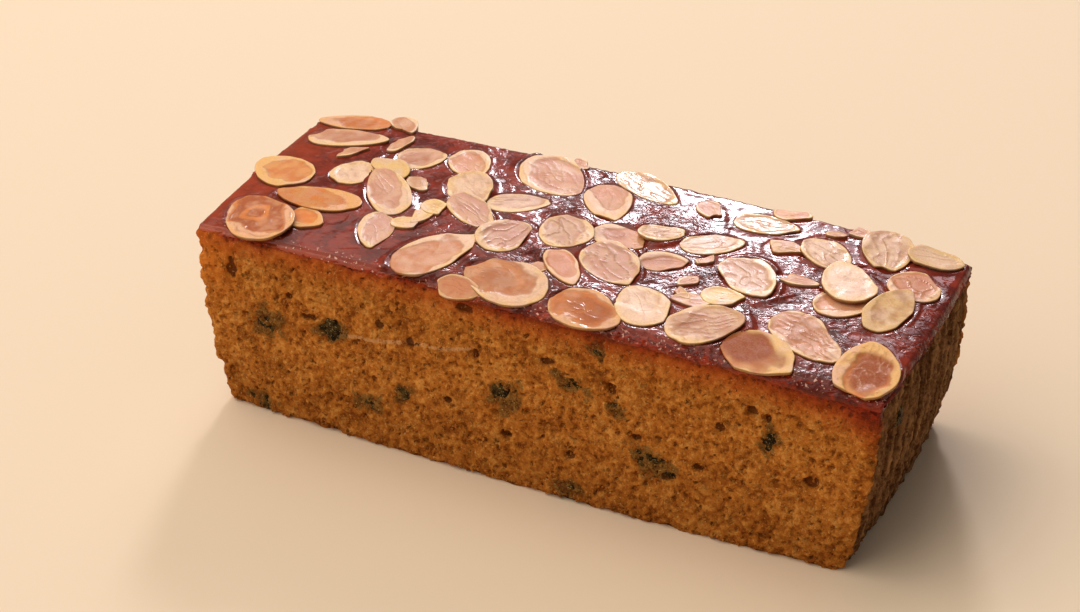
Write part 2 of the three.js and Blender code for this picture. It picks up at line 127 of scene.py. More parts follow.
# %% A sheet: a node tree
class Sheet:
    """A node tree, with one method that makes any node and a few that make common ones."""

    def __init__(self, tree):
        self.tree = tree

    def node(self, kind, settings=None, sockets=None, out=0):
        made = self.tree.nodes.new(kind)
        for key, value in (settings or {}).items():
            setattr(made, key, value)
        self._feed(made.inputs, sockets or {})
        return Value(self, self._find(made.outputs, out))

    def _feed(self, inputs, sockets):
        for key, value in sockets.items():
            socket = self._find(inputs, key)
            if isinstance(value, Value):
                self.tree.links.new(value.socket, socket)
            else:
                socket.default_value = value

    @staticmethod
    def _find(sockets, key):
        if isinstance(key, int):
            return sockets[key]
        named = [s for s in sockets if s.identifier == key] or [s for s in sockets if s.name == key]
        return named[0]

    def math(self, operation, a, b=0.0):
        return self.node("ShaderNodeMath", {"operation": operation}, {0: a, 1: b})

    def larger(self, a, b):
        return self.math("MAXIMUM", a, b)

    def from_middle(self, value):
        """How far a noise is from its middle value: 0 there, 1 at its ends."""
        return self.math("ABSOLUTE", value * 2 - 1)

    def noise(self, size, place=None, detail=2.0, roughness=0.5, distortion=0.0):
        """Soft noise from 0 to 1 whose lumps are about `size` millimetres."""
        return self.node("ShaderNodeTexNoise", {}, {
            "Vector": place or self.place, "Scale": 1 / (size * MM), "Detail": detail,
            "Roughness": roughness, "Distortion": distortion,
        })

    def cells(self, size, place):
        """Distance to the nearest of points scattered about `size` millimetres apart, in that unit."""
        return self.node("ShaderNodeTexVoronoi", {}, {"Vector": place, "Scale": 1 / (size * MM)})

    def step(self, value, low, high, start=0.0, end=1.0):
        """Smooth change from start to end as value goes from low to high."""
        return self.node("ShaderNodeMapRange", {"interpolation_type": "SMOOTHSTEP"}, {
            "Value": value, "From Min": low, "From Max": high, "To Min": start, "To Max": end,
        })

    def mix(self, mask, a, b):
        """Colour a where mask is 0 and b where it is 1."""
        return self.node("ShaderNodeMix", {"data_type": "RGBA"}, {
            "Factor_Float": mask,
            "A_Color": a if isinstance(a, Value) else (*a, 1),
            "B_Color": b if isinstance(b, Value) else (*b, 1),
        }, out="Result_Color")

    def tint(self, mask, color, shade):
        """The colour multiplied by a shade as far as mask says, so that its pattern stays."""
        return self.node("ShaderNodeMix", {"data_type": "RGBA", "blend_type": "MULTIPLY"}, {
            "Factor_Float": mask, "A_Color": color, "B_Color": (*shade, 1),
        }, out="Result_Color")

    def vectors(self, operation, a, b=None, scale=None):
        given = {key: value for key, value in ((0, a), (1, b), ("Scale", scale)) if value is not None}
        return self.node("ShaderNodeVectorMath", {"operation": operation}, given)

    def warped(self, size, amount):
        """Places pushed about by up to `amount` millimetres, so that no pattern stays round."""
        push = self.noise(size, detail=1.0).other("Color")
        centred = self.vectors("SUBTRACT", push, (0.5, 0.5, 0.5))
        return self.vectors("ADD", self.place, self.vectors("SCALE", centred, scale=2 * amount * MM))


# %% A finish: a material
class Finish(Sheet):
    """A material: a sheet that ends in one Principled shader, painted on a ground colour."""

    def __init__(self, name, ground):
        self.color = ground
        self.material = bpy.data.materials.new(name)
        self.material.use_nodes = True
        super().__init__(self.material.node_tree)
        self.shader = next(n for n in self.tree.nodes if n.type == "BSDF_PRINCIPLED")
        self.place = self.node("ShaderNodeTexCoord", out="Object")

    def attribute(self, name):
        return self.node("ShaderNodeAttribute", {"attribute_name": name}, out="Fac")

    def paint(self, mask, color):
        """Lays a colour over what is there as far as mask says."""
        self.color = self.mix(mask, self.color, color)

    def set(self, **sockets):
        """Sockets of the shader by their names, with _ for a space."""
        self._feed(self.shader.inputs, {key.replace("_", " "): value for key, value in sockets.items()})

    def bump(self, height, depth):
        """A normal for a relief of `depth` millimetres."""
        relief = {"Strength": 1.0, "Distance": depth * MM, "Height": height}
        self.set(Normal=self.node("ShaderNodeBump", {}, relief, out="Normal"))


# %% A growth: a Geometry Nodes tree
class Growth(Sheet):
    """A Geometry Nodes tree with named inputs, which ends in Realize Instances and Set Material."""

    def __init__(self, name, inputs, material):
        tree = bpy.data.node_groups.new(name, "GeometryNodeTree")
        super().__init__(tree)
        tree.interface.new_socket("Geometry", in_out="INPUT", socket_type="NodeSocketGeometry")
        self.sizes = {}
        for key, value in inputs.items():
            item = tree.interface.new_socket(key, in_out="INPUT", socket_type="NodeSocketFloat")
            self.sizes[item.identifier] = value
        tree.interface.new_socket("Geometry", in_out="OUTPUT", socket_type="NodeSocketGeometry")
        self.source = tree.nodes.new("NodeGroupInput")
        self.material = material
        self.geometry = Value(self, self.source.outputs["Geometry"])
        self.place = self.node("GeometryNodeInputPosition")
        self.outward = self.node("GeometryNodeInputNormal")

    def given(self, name):
        return Value(self, self.source.outputs[name])

    def attribute(self, name):
        return self.node("GeometryNodeInputNamedAttribute", {"data_type": "FLOAT"}, {"Name": name})

    def finish(self, geometry):
        whole = self.node("GeometryNodeRealizeInstances", {}, {"Geometry": geometry})
        skin = {"Geometry": whole, "Material": self.material}
        dressed = self.node("GeometryNodeSetMaterial", {}, skin)
        end = self.tree.nodes.new("NodeGroupOutput")
        self.tree.links.new(dressed.socket, end.inputs["Geometry"])

    def push_out(self, distance):
        """Moves each point along its normal, by a distance in metres, and ends the tree."""
        self.finish(self.pushed(self.geometry, distance))
        return self

    def pushed(self, geometry, distance):
        push = self.vectors("SCALE", self.outward, scale=distance)
        return self.node("GeometryNodeSetPosition", {}, {"Geometry": geometry, "Offset": push})

    def apply(self, piece):
        """Runs the tree on a piece, with the input sizes set by their identifiers."""
        modifier = piece.modifiers.new(self.tree.name, "NODES")
        modifier.node_group = self.tree
        for identifier, value in self.sizes.items():
            modifier[identifier] = value
        keep_modified(piece)


# %% [markdown]
# ## Pieces from arrays
# A mesh of a hundred thousand faces is slow to build one face at a time, so points and faces are kept
# as NumPy arrays and handed over in one go. Points are millimetres until this last step. A float
# attribute, such as how near a point is to a piece of fruit, can ride along for the material. What
# the modifiers of a piece make is kept as its own plain mesh, so nothing is left to be worked out.


# %% Pieces
def make_piece(name, points, face_groups, material, attributes=None):
    corners = np.concatenate([group.ravel() for group in face_groups])
    sizes = np.concatenate([np.full(len(group), group.shape[1]) for group in face_groups])
    mesh = bpy.data.meshes.new(name)
    mesh.vertices.add(len(points))
    mesh.vertices.foreach_set("co", (np.asarray(points) * MM).astype(np.float32).ravel())
    mesh.loops.add(len(corners))
    mesh.loops.foreach_set("vertex_index", corners.astype(np.int32))
    mesh.polygons.add(len(sizes))
    mesh.polygons.foreach_set("loop_start", (np.cumsum(sizes) - sizes).astype(np.int32))
    mesh.update(calc_edges=True)
    mesh.validate()
    mesh.shade_smooth()
    for key, values in (attributes or {}).items():
        layer = mesh.attributes.new(key, "FLOAT", "POINT")
        layer.data.foreach_set("value", np.asarray(values, dtype=np.float32))
    mesh.materials.append(material)
    piece = bpy.data.objects.new(name, mesh)
    bpy.context.collection.objects.link(piece)
    return piece


def points_of(piece):
    """A mesh's points, in millimetres."""
    flat = np.empty(len(piece.data.vertices) * 3, dtype=np.float32)
    piece.data.vertices.foreach_get("co", flat)
    return flat.reshape(-1, 3).astype(float) / MM


def move_points(piece, points):
    piece.data.vertices.foreach_set("co", (points * MM).astype(np.float32).ravel())


def values_of(piece, name):
    """A float attribute of a mesh's points."""
    values = np.empty(len(piece.data.vertices), dtype=np.float32)
    piece.data.attributes[name].data.foreach_get("value", values)
    return values


def keep_modified(piece):
    """Keeps what a piece's modifiers make as its own plain mesh, and removes them."""
    depsgraph = bpy.context.evaluated_depsgraph_get()
    made = bpy.data.meshes.new_from_object(piece.evaluated_get(depsgraph), depsgraph=depsgraph)
    piece.modifiers.clear()
    old, piece.data = piece.data, made
    bpy.data.meshes.remove(old)


# %% Soft steps and noise on arrays
def smooth_step(value, low, high):
    share = np.clip((value - low) / (high - low), 0, 1)
    return share * share * (3 - 2 * share)


def fade(value, low, high):
    """The same step downwards, from 1 to 0."""
    return 1 - smooth_step(value, low, high)


def noise_at(points, size, shift=0.0):
    """Noise from -1 to 1 at each point, with lumps of about `size` millimetres."""
    return np.array([noise.noise(Vector((x / size + shift, y / size, z / size))) for x, y, z in points])


# %% [markdown]
# ## The loaf's form
# The loaf is a long block with rounded upper edges that leans in at its ends, bows out at its sides
# and rises a little along the top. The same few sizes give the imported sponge. Here they place a much
# finer skin, so the crumb and the glaze can be modelled and not only painted.

# %% Sizes of the loaf
LENGTH = 190.0
WIDTH = 69.0
CORNER_HEIGHT = 51.8
RISE_FRONT, RISE_MIDDLE, RISE_BACK = 0.6, 2.6, 3.3
RISE_POWER = 4
END_TAPER, END_BELLY, END_SWELL = 6.5, 2.4, 1.6
SIDE_SPREAD, SIDE_SKEW, SIDE_SWELL = 1.2, 0.5, 2.2
EDGE_RADII = np.array([1.4, 2.4, 2.4])


def top_rise(x, y):
    along = 1 - np.minimum(1, np.abs(2 * x / LENGTH)) ** RISE_POWER
    across = np.clip(2 * y / WIDTH, -1, 1)
    edge = np.where(across < 0, RISE_FRONT, RISE_BACK)
    return along * (edge + (RISE_MIDDLE - edge) * (1 - across**2))


def rounded(block):
    """The upright block with its top edges and upright corners rounded."""
    reach = np.array([LENGTH / 2, WIDTH / 2]) - EDGE_RADII[:2]
    inner = block.copy()
    inner[:, :2] = np.clip(block[:, :2], -reach, reach)
    inner[:, 2] = np.minimum(block[:, 2], CORNER_HEIGHT - EDGE_RADII[2])
    outward = (block - inner) / EDGE_RADII
    distance = np.linalg.norm(outward, axis=1)
    far = distance > 1
    result = block.copy()
    result[far] = inner[far] + outward[far] / distance[far, None] * EDGE_RADII
    return result


def bowed(block):
    """The block with the loaf's lean, bow and risen top."""
    x, y, z = block.T
    up = np.clip(z / CORNER_HEIGHT, 0, 1)
    along = 2 * x / LENGTH
    across = 2 * y / WIDTH
    end = END_SWELL * (1 - across**2) + END_BELLY * 4 * up * (1 - up) - END_TAPER * (1 - up)
    side = (SIDE_SPREAD + SIDE_SKEW * along + SIDE_SWELL * (1 - along**2)) * (1 - up)
    return np.column_stack([x + along * end, y + across * side, z + top_rise(x, y) * up])


# %% A closed skin over the form
def block_skin(x_cuts, y_cuts, z_cuts, fine_top, inner_rings):
    """Points and faces of a closed block. A coarse face is rings that shrink to its middle."""
    last = (len(x_cuts) - 1, len(y_cuts) - 1, len(z_cuts) - 1)
    i, j, k = (np.arange(n + 1) for n in last)
    sheets = []

    def sheet(u, v, build):
        grid_u, grid_v = np.meshgrid(u, v, indexing="ij")
        places = np.stack(np.broadcast_arrays(*build(grid_u, grid_v)), axis=-1)
        corner = places[:-1, :-1], places[1:, :-1], places[1:, 1:], places[:-1, 1:]
        sheets.append(np.stack(corner, axis=2).reshape(-1, 4, 3))

    sheet(i, k, lambda u, v: (u, 0, v))
    sheet(j, k, lambda u, v: (last[0], u, v))
    sheet(i[::-1], k, lambda u, v: (u, last[1], v))
    sheet(j[::-1], k, lambda u, v: (0, u, v))
    if fine_top:
        sheet(i, j, lambda u, v: (u, v, last[2]))
    lattice = np.concatenate(sheets).reshape(-1, 3)
    codes = (lattice[:, 0] * (last[1] + 1) + lattice[:, 1]) * (last[2] + 1) + lattice[:, 2]
    unique, first, inverse = np.unique(codes, return_index=True, return_inverse=True)
    used = lattice[first]
    points = np.column_stack([x_cuts[used[:, 0]], y_cuts[used[:, 1]], z_cuts[used[:, 2]]])
    quads = inverse.reshape(-1, 4)
    groups = [quads]
    around = [(n, 0) for n in range(last[0])] + [(last[0], n) for n in range(last[1])]
    around += [(n, last[1]) for n in range(last[0], 0, -1)] + [(0, n) for n in range(last[1], 0, -1)]
    around = np.array(around)
    for level in (0,) if fine_top else (0, last[2]):
        code = (around[:, 0] * (last[1] + 1) + around[:, 1]) * (last[2] + 1) + level
        ring = np.searchsorted(unique, code)
        middle = np.array([0, 0, z_cuts[level]])
        outline = points[ring]
        for share in inner_rings:
            inner = len(points) + np.arange(len(ring))
            points = np.vstack([points, middle + (outline - middle) * [share, share, 1]])
            joined = np.column_stack([ring, np.roll(ring, -1), np.roll(inner, -1), inner])
            groups.append(joined if level else joined[:, ::-1])
            ring = inner
        centre = len(points)
        points = np.vstack([points, middle])
        fan = np.column_stack([ring, np.roll(ring, -1), np.full(len(ring), centre)])
        groups.append(fan if level else fan[:, ::-1])
    return points, groups


# What counts as on an end, and as near an edge, in millimetres.
END_MARGIN, EDGE_ZONE = 0.6, 3.0
SMALL_SHRINK, SMALL_DROP = 0.999, 0.05


def loaf_skin(counts, low, fine_top, inner_rings):
    """A fine closed skin of the form from a height up: the block, its faces, the rounded block, the
    finished form, the depth below the corners and what lies on an end."""
    x_cuts = np.linspace(-LENGTH / 2, LENGTH / 2, counts[0])
    y_cuts = np.linspace(-WIDTH / 2, WIDTH / 2, counts[1])
    z_cuts = np.linspace(low, CORNER_HEIGHT, counts[2])
    block, faces = block_skin(x_cuts, y_cuts, z_cuts, fine_top, inner_rings)
    smooth = rounded(block)
    on_end = smooth_step(np.abs(smooth[:, 0]), LENGTH / 2 - END_MARGIN, LENGTH / 2)
    return block, faces, smooth, bowed(smooth), CORNER_HEIGHT - block[:, 2], on_end


def loaf_normals(block):
    """Outward directions of the finished form at points of the block, by small steps along it."""
    inner = block * [SMALL_SHRINK, SMALL_SHRINK, 1] - [0, 0, SMALL_DROP]
    outward = bowed(rounded(block)) - bowed(rounded(inner))
    return outward / np.maximum(np.linalg.norm(outward, axis=1), 1e-9)[:, None]


SPONGE_LOW, SPONGE_HIGH = (np.array(corner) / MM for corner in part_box("sponge"))
print("sponge in the frame", (SPONGE_HIGH - SPONGE_LOW).round(1), "mm")

# %% [markdown]
# ## The crumb
# Torn sponge shows a fine grain, many small pores and a few larger ones, none of them round.
# Scattered points give pores: near a point the surface sinks, and a warp of the pattern makes the
# outlines ragged. Sinking them in the mesh gives true shadows, which a bump alone would not. Pores
# look darker than the crust between them, so the same masks also paint shade into the colour.

# %% One rule for pores, used by the mesh and by the material
PORE_SPACING = 2.6
PINHOLE_SPACING = 1.8
GAP_SIZE = 2.1
BROKEN_SIZE = 3.4
GRAIN_SIZE = 1.7
RAGGED_SIZE, RAGGED_PUSH = 1.5, 1.3


def crumb_pattern(sheet):
    """Masks of the pores with the gaps between crumbs, of the pinholes and of the grain."""
    ragged = sheet.warped(RAGGED_SIZE, RAGGED_PUSH)
    big, small = sheet.cells(PORE_SPACING, ragged), sheet.cells(PINHOLE_SPACING, ragged)
    big_chance, small_chance = (
        sheet.vectors("DOT_PRODUCT", near.other("Color"), (1.0, 0.0, 0.0)).other("Value")
        for near in (big, small)
    )
    reach = sheet.larger(big_chance * 0.56 - 0.2, 0.0)
    pores = sheet.step(big, reach + 0.04, reach * 0.5)
    pinholes = sheet.step(small, small_chance * 0.5 + 0.04, small_chance * 0.22)
    winding = sheet.noise(GAP_SIZE, ragged, detail=3.0, roughness=0.6)
    gaps = sheet.step(sheet.from_middle(winding), 0.14, 0.02)
    broken = sheet.step(sheet.noise(BROKEN_SIZE), 0.5, 0.62)
    pores = sheet.larger(pores, gaps * broken * 0.35)
    return pores, pinholes, sheet.noise(GRAIN_SIZE, detail=3.0, roughness=0.6)


# %% Finish of the sponge
CRUMB_DARK = (0.270, 0.072, 0.007)
CRUMB_MIDDLE = (0.530, 0.178, 0.024)
CRUMB_LIGHT = (0.710, 0.300, 0.060)
# Painted highlight: small glints of moist crumb.
SPECK_GLINT = (0.860, 0.520, 0.200)
# Painted shade for pores, pinholes and pits, darker than their sunk relief alone makes them.
PORE_SHADE = (0.100, 0.022, 0.004)
MOIST_COLOR = (0.480, 0.080, 0.011)
SOAKED_COLOR = (0.330, 0.024, 0.003)
SOAKED_DARK = (0.110, 0.006, 0.001)
AMBER_COLOR = (0.680, 0.190, 0.022)
STAIN_DARK = (0.034, 0.015, 0.002)
STAIN_LIGHT = (0.215, 0.110, 0.026)
CREASE_COLOR = (0.700, 0.360, 0.150)
CRUST_COLOR = (0.310, 0.168, 0.074)
CRUST_DARK = (0.034, 0.013, 0.005)
BASE_SHADE = (0.80, 0.78, 0.72)
BASE_SHADE_TOP, BASE_SHADE_FULL = 28.0, 4.0
FOLD_SHADE = (0.25, 0.22, 0.2)
UPRIGHT_STREAKS = (1.0, 1.0, 0.12)


def sponge_finish():
    finish = Finish("sponge_crumb", CRUMB_DARK)
    pores, pinholes, grain = crumb_pattern(finish)
    patches = finish.noise(9.0, detail=3.0)
    speckle = finish.noise(0.5, roughness=0.7)
    tone = patches * 0.28 + grain * 0.58 + speckle * 0.14
    finish.paint(finish.step(tone, 0.38, 0.51), CRUMB_MIDDLE)
    finish.paint(finish.step(tone, 0.5, 0.6), CRUMB_LIGHT)
    crease = finish.step(finish.attribute("crease") + (grain - 0.5) * 1.6, 0.3, 0.9)
    finish.paint(crease * 0.65, CREASE_COLOR)
    height = finish.node("ShaderNodeSeparateXYZ", {}, {"Vector": finish.place}, out="Z")
    low = finish.step(height, BASE_SHADE_TOP * MM, BASE_SHADE_FULL * MM)
    finish.color = finish.tint(low, finish.color, BASE_SHADE)
    streaks = finish.vectors("MULTIPLY", finish.place, UPRIGHT_STREAKS)
    streaks = finish.noise(1.6, streaks, detail=3.0, roughness=0.6)
    crust = finish.mix(finish.step(streaks * 0.7 + grain * 0.3, 0.4, 0.62), CRUST_DARK, CRUST_COLOR)
    on_end = finish.attribute("crust")
    finish.paint(on_end * 0.85, finish.tint(finish.attribute("fold"), crust, FOLD_SHADE))
    finish.paint(finish.attribute("amber"), AMBER_COLOR)
    finish.paint(finish.attribute("moist"), MOIST_COLOR)
    near_fruit = finish.attribute("stain")
    stain = finish.step(near_fruit + (grain - 0.5) * 3.2, 0.25, 0.85) * finish.step(near_fruit, 0.0, 0.3)
    olive = finish.mix(finish.step(grain * 0.6 + speckle * 0.4, 0.42, 0.6), STAIN_DARK, STAIN_LIGHT)
    finish.paint(stain * 0.8, olive)
    # Pits, pores and pinholes are painted dark: painted shade in the hollows, over their true shadows.
    pit = finish.step(finish.attribute("pit") + (grain - 0.5) * 1.2, 0.35, 0.8)
    hole = finish.larger(finish.larger(pores * 0.75, pinholes * 0.48), pit * 0.85)
    finish.paint(hole, PORE_SHADE)
    # Painted highlights: small pale glints on the moist crumb, fewer on the crust of the ends.
    glint_specks = finish.step(finish.noise(0.6, detail=1.0), 0.66, 0.74)
    finish.paint(glint_specks * (0.4 - on_end * 0.3), SPECK_GLINT)
    soak = finish.attribute("soak")
    wet = finish.mix(finish.step(tone - hole * 0.2, 0.4, 0.58), SOAKED_DARK, SOAKED_COLOR)
    finish.paint(soak * 0.95, wet)
    finish.set(Base_Color=finish.color, Roughness=finish.step(soak, 0.3, 1.0, 0.85, 0.3))
    finish.set(Specular_IOR_Level=0.1)
    finish.bump(grain * 0.4 + speckle * 0.5 - hole * 0.8, 0.5)
    return finish.material


sponge_material = sponge_finish()


# %% Crumb relief in Geometry Nodes
def crumb_relief():
    growth = Growth("crumb_relief", {
        "Pore depth": 0.9, "Pinhole depth": 0.45, "Grain depth": 1.0, "Lump depth": 0.5,
        "Clump depth": 0.6, "Hem depth": 1.4, "Pit depth": 1.3,
    }, sponge_material)
    pores, pinholes, grain = crumb_pattern(growth)
    lumps = growth.noise(7.0) - 0.5
    clumps = growth.noise(3.0, roughness=0.6, distortion=0.6) - 0.5
    ragged = growth.noise(2.6, detail=3.0, roughness=0.65) - 0.46
    relief = (grain - 0.5) * growth.given("Grain depth") * 2 + lumps * growth.given("Lump depth") * 2
    relief = relief + clumps * growth.given("Clump depth") * 2
    relief = relief - pores * growth.given("Pore depth") - pinholes * growth.given("Pinhole depth")
    relief = relief - growth.attribute("pit") * growth.given("Pit depth")
    relief = relief + ragged * growth.given("Hem depth") * 2 * growth.attribute("hem")
    return growth.push_out(relief * growth.attribute("open") * (1 - growth.attribute("soak") * 0.5) * MM)


# %% [markdown]
# ## Where the sponge differs
# The glaze has soaked into the top of the sides, more so towards the right, the fruit stains the
# crumb round it, and the ends keep a thin brown crust with upright folds from the paper lining. Each
# is a number from 0 to 1 on the points of the mesh, worked out from places on the loaf.

# %% Places of the fruit, of the pits and of the soaked band
FRUIT_NODES = sorted(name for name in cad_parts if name.startswith("fruit"))
# Pits in the front: along, up, half width, half height.
PITS = [
    (-84.5, 42, 1.6, 3.2), (-15.5, 48, 2.6, 1.4), (79, 24, 2.4, 1.6), (55, 33, 1.3, 1.2),
    (63, 40, 1.6, 1.3), (67, 39, 1.0, 1.2), (15, 13.5, 1.4, 1.2), (-40, 37, 1.3, 1.5),
    (-48, 52, 2.2, 1.0), (42, 15, 2.0, 1.4), (-67, 38, 1.2, 1.0), (-61, 33.5, 2.4, 1.0),
    (-54.5, 31.5, 3.2, 2.8), (-31, 34, 1.2, 1.3), (8, 39, 2.2, 1.0), (26, 36, 1.4, 1.8),
    (33, 24, 1.3, 1.0), (50, 20, 1.6, 1.0), (-20, 20, 1.1, 0.9), (-3, 14.5, 1.8, 1.1),
    (-12, 36, 0.9, 1.4),
]
BAND_PLACES = (-95, -50, -20, 0, 60, 84, 95)
BAND_DEPTHS = (0.8, 1.0, 2.0, 3.0, 3.6, 5.5, 10.0)
BAND_BACK = 2.5
BAND_ENDS = 1.6
FOLD_PITCH = 6.2
FOLD_DEPTH = 0.95
BASE_INSET = 0.9
CORNER_WEAR = 0.9
CREASE_START, CREASE_END = (-58.0, 29.5), (-10.0, 37.0)
CORNER_BARE = 1.4
LUMP_MARGIN = 0.3


# %% Stains, pits and the soaked band, as numbers from 0 to 1
def packed_lump(name):
    """The middle, the directions and the half sizes of a packed lump, from the spread of its points."""
    points = np.unique(points_of(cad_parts[name]).round(3), axis=0)
    middle = points.mean(axis=0)
    axes = np.linalg.svd(points - middle, full_matrices=False)[2]
    reach = (points - middle) @ axes.T
    return middle, axes, (reach.max(axis=0) - reach.min(axis=0)) / 2


def fruit_stain(points):
    stain = np.zeros(len(points))
    wobble = noise_at(points, 3.5, 11.0) * 0.45
    for middle, axes, half in map(packed_lump, FRUIT_NODES):
        distance = np.linalg.norm((points - middle) @ axes.T / (half + LUMP_MARGIN), axis=1) + wobble
        stain = np.maximum(stain, fade(distance, 0.65, 1.3))
    return stain


def pit_depth(points, on_front):
    wobble = noise_at(points, 1.6, 5.0) * 0.45
    pit = np.zeros(len(points))
    for x, z, half_width, half_height in PITS:
        distance = np.hypot((points[:, 0] - x) / half_width, (points[:, 2] - z) / half_height)
        pit = np.maximum(pit, fade(distance + wobble, 0.7, 1.2))
    return pit * on_front


def left_corner(points):
    """Distance from the upright corner at the front left."""
    return np.hypot(points[:, 0] + LENGTH / 2, (points[:, 1] + WIDTH / 2) * 1.6)


def band_depth(points, on_end):
    """How far down the glaze has run, in millimetres below the corners of the top."""
    front = np.interp(points[:, 0], BAND_PLACES, BAND_DEPTHS)
    depth = np.where(points[:, 1] < 0, front, BAND_BACK)
    depth = depth * (1 - on_end) + BAND_ENDS * on_end
    return depth - CORNER_BARE * fade(left_corner(points), 3, 10)


def run_depth(points, on_end):
    """The same, with the ragged lower limit of the soaked crumb."""
    ragged = noise_at(points, 6.0, 3.0) * 1.2 + noise_at(points, 1.8, 9.0) * 0.6
    return band_depth(points, on_end) + ragged


def soaked(below, depth):
    return fade(below, depth * 0.5 - 0.6, depth * 1.45 + 1.0)


def crease_line(points, on_front):
    (x0, z0), (x1, z1) = CREASE_START, CREASE_END
    share = (points[:, 0] - x0) / (x1 - x0)
    line = z0 + (z1 - z0) * share + noise_at(points * [1, 0, 0], 9.0, 2.0) * 0.8
    inside = smooth_step(share, -0.02, 0.06) * fade(share, 0.9, 1.0)
    return fade(np.abs(points[:, 2] - line), 0.2, 1.0) * inside * on_front


# %% The sponge
SPONGE_COUNTS = (355, 111, 93)
SPONGE_RINGS = (0.93, 0.85, 0.5)


def make_sponge():
    block, faces, smooth, points, below, on_end = loaf_skin(SPONGE_COUNTS, 0, False, SPONGE_RINGS)
    x, y, z = block.T
    from_edge = WIDTH / 2 - np.abs(y) + noise_at(points, 2.4, 13.0) * 1.3
    on_end = on_end * smooth_step(from_edge, 0.8, 3.4)
    on_front = smooth_step(-smooth[:, 1], WIDTH / 2 - 2, WIDTH / 2 - 1)
    on_top = smooth_step(smooth[:, 2], CORNER_HEIGHT - 0.6, CORNER_HEIGHT)
    wander = noise_at(points * [1, 1, 0.3], 9.0) * 2.6
    waves = np.abs(np.sin(np.pi * (y + wander) / FOLD_PITCH))
    threads = noise_at(points * [1, 1, 0.12], 1.5, 4.0)
    folds = (waves - 0.75) * 2 * FOLD_DEPTH + threads * 0.4
    folds = folds * smooth_step(below, 1.6, 3.5) - 0.8 * smooth_step(below, 1.6, 2.6)
    points[:, 0] += np.sign(x) * on_end * folds
    inset = BASE_INSET * (1 + 1.1 * noise_at(points, 4.0, 7.0)) * fade(z, 0, 1.6)
    near_end = smooth_step(np.abs(x), LENGTH / 2 - EDGE_ZONE, LENGTH / 2)
    near_side = smooth_step(np.abs(y), WIDTH / 2 - EDGE_ZONE, WIDTH / 2)
    points[:, 0] -= np.sign(x) * inset * near_end
    points[:, 1] -= np.sign(y) * inset * near_side
    worn = np.clip(0.5 + 1.2 * noise_at(points, 3.0, 21.0), 0, 1.2)
    worn = near_end * near_side * smooth_step(below, 2, 5) * worn
    points[:, 0] -= np.sign(x) * worn * CORNER_WEAR
    points[:, 1] -= np.sign(y) * worn * CORNER_WEAR
    amber = fade(left_corner(block), 3, 16) * fade(below, 8, 24)
    base = z < 0.01
    depth = run_depth(points, on_end)
    pit = pit_depth(points, on_front)
    attributes = {
        "open": np.where(base, 0.0, 1 - on_top),
        "hem": fade(z, 0.3, 3.5),
        "soak": soaked(below, depth),
        "moist": fade(below, depth, depth + 8.0) * (1 - on_end) * 0.7,
        "stain": fruit_stain(points),
        "pit": pit,
        "crease": crease_line(points, on_front),
        "amber": amber * 0.8,
        "crust": on_end,
        "fold": on_end * np.clip(1.1 - waves * 1.1 - threads * 0.5, 0, 1),
    }
    sponge = make_piece("sponge_crumb", points, faces, sponge_material, attributes)
    crumb_relief().apply(sponge)
    settled = points_of(sponge)
    settled[:, 2] = np.where(base, 0.0, np.maximum(settled[:, 2], 0.0))
    move_points(sponge, settled)
    sponge.data.shade_smooth()
    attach(sponge, "root")
    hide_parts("sponge")
    return sponge


sponge = make_sponge()
print("sponge:", len(sponge.data.vertices), "points,", len(sponge.data.polygons), "faces")

# %% [markdown]
# ## The almond flakes
# Almonds cut lengthways give thin pointed ovals: a pale rim round a darker, slightly sunken middle,
# crossed by fine wrinkles that run together at the tips. Each packed flake gives its place, its tilt
# and its size. A fine round grid of points is laid over that outline and raised and sunk by how far
# each point lies from the rim.

# %% Finish of the almonds
RIM_COLOR = (0.930, 0.660, 0.460)
RIM_YELLOW = (0.950, 0.640, 0.250)
CORE_TAN = (0.580, 0.240, 0.095)
CORE_PINK = (0.700, 0.400, 0.320)
CORE_WARM = (0.790, 0.220, 0.030)
WARM_DARK = (0.400, 0.070, 0.012)
WINDOW_COLOR = (0.300, 0.050, 0.001)
VEIN_COLOR = (0.260, 0.085, 0.035)
# The walls: glaze brown, with painted shadow at the flake's foot.
WALL_GLAZE_SHADE = (0.130, 0.040, 0.012)


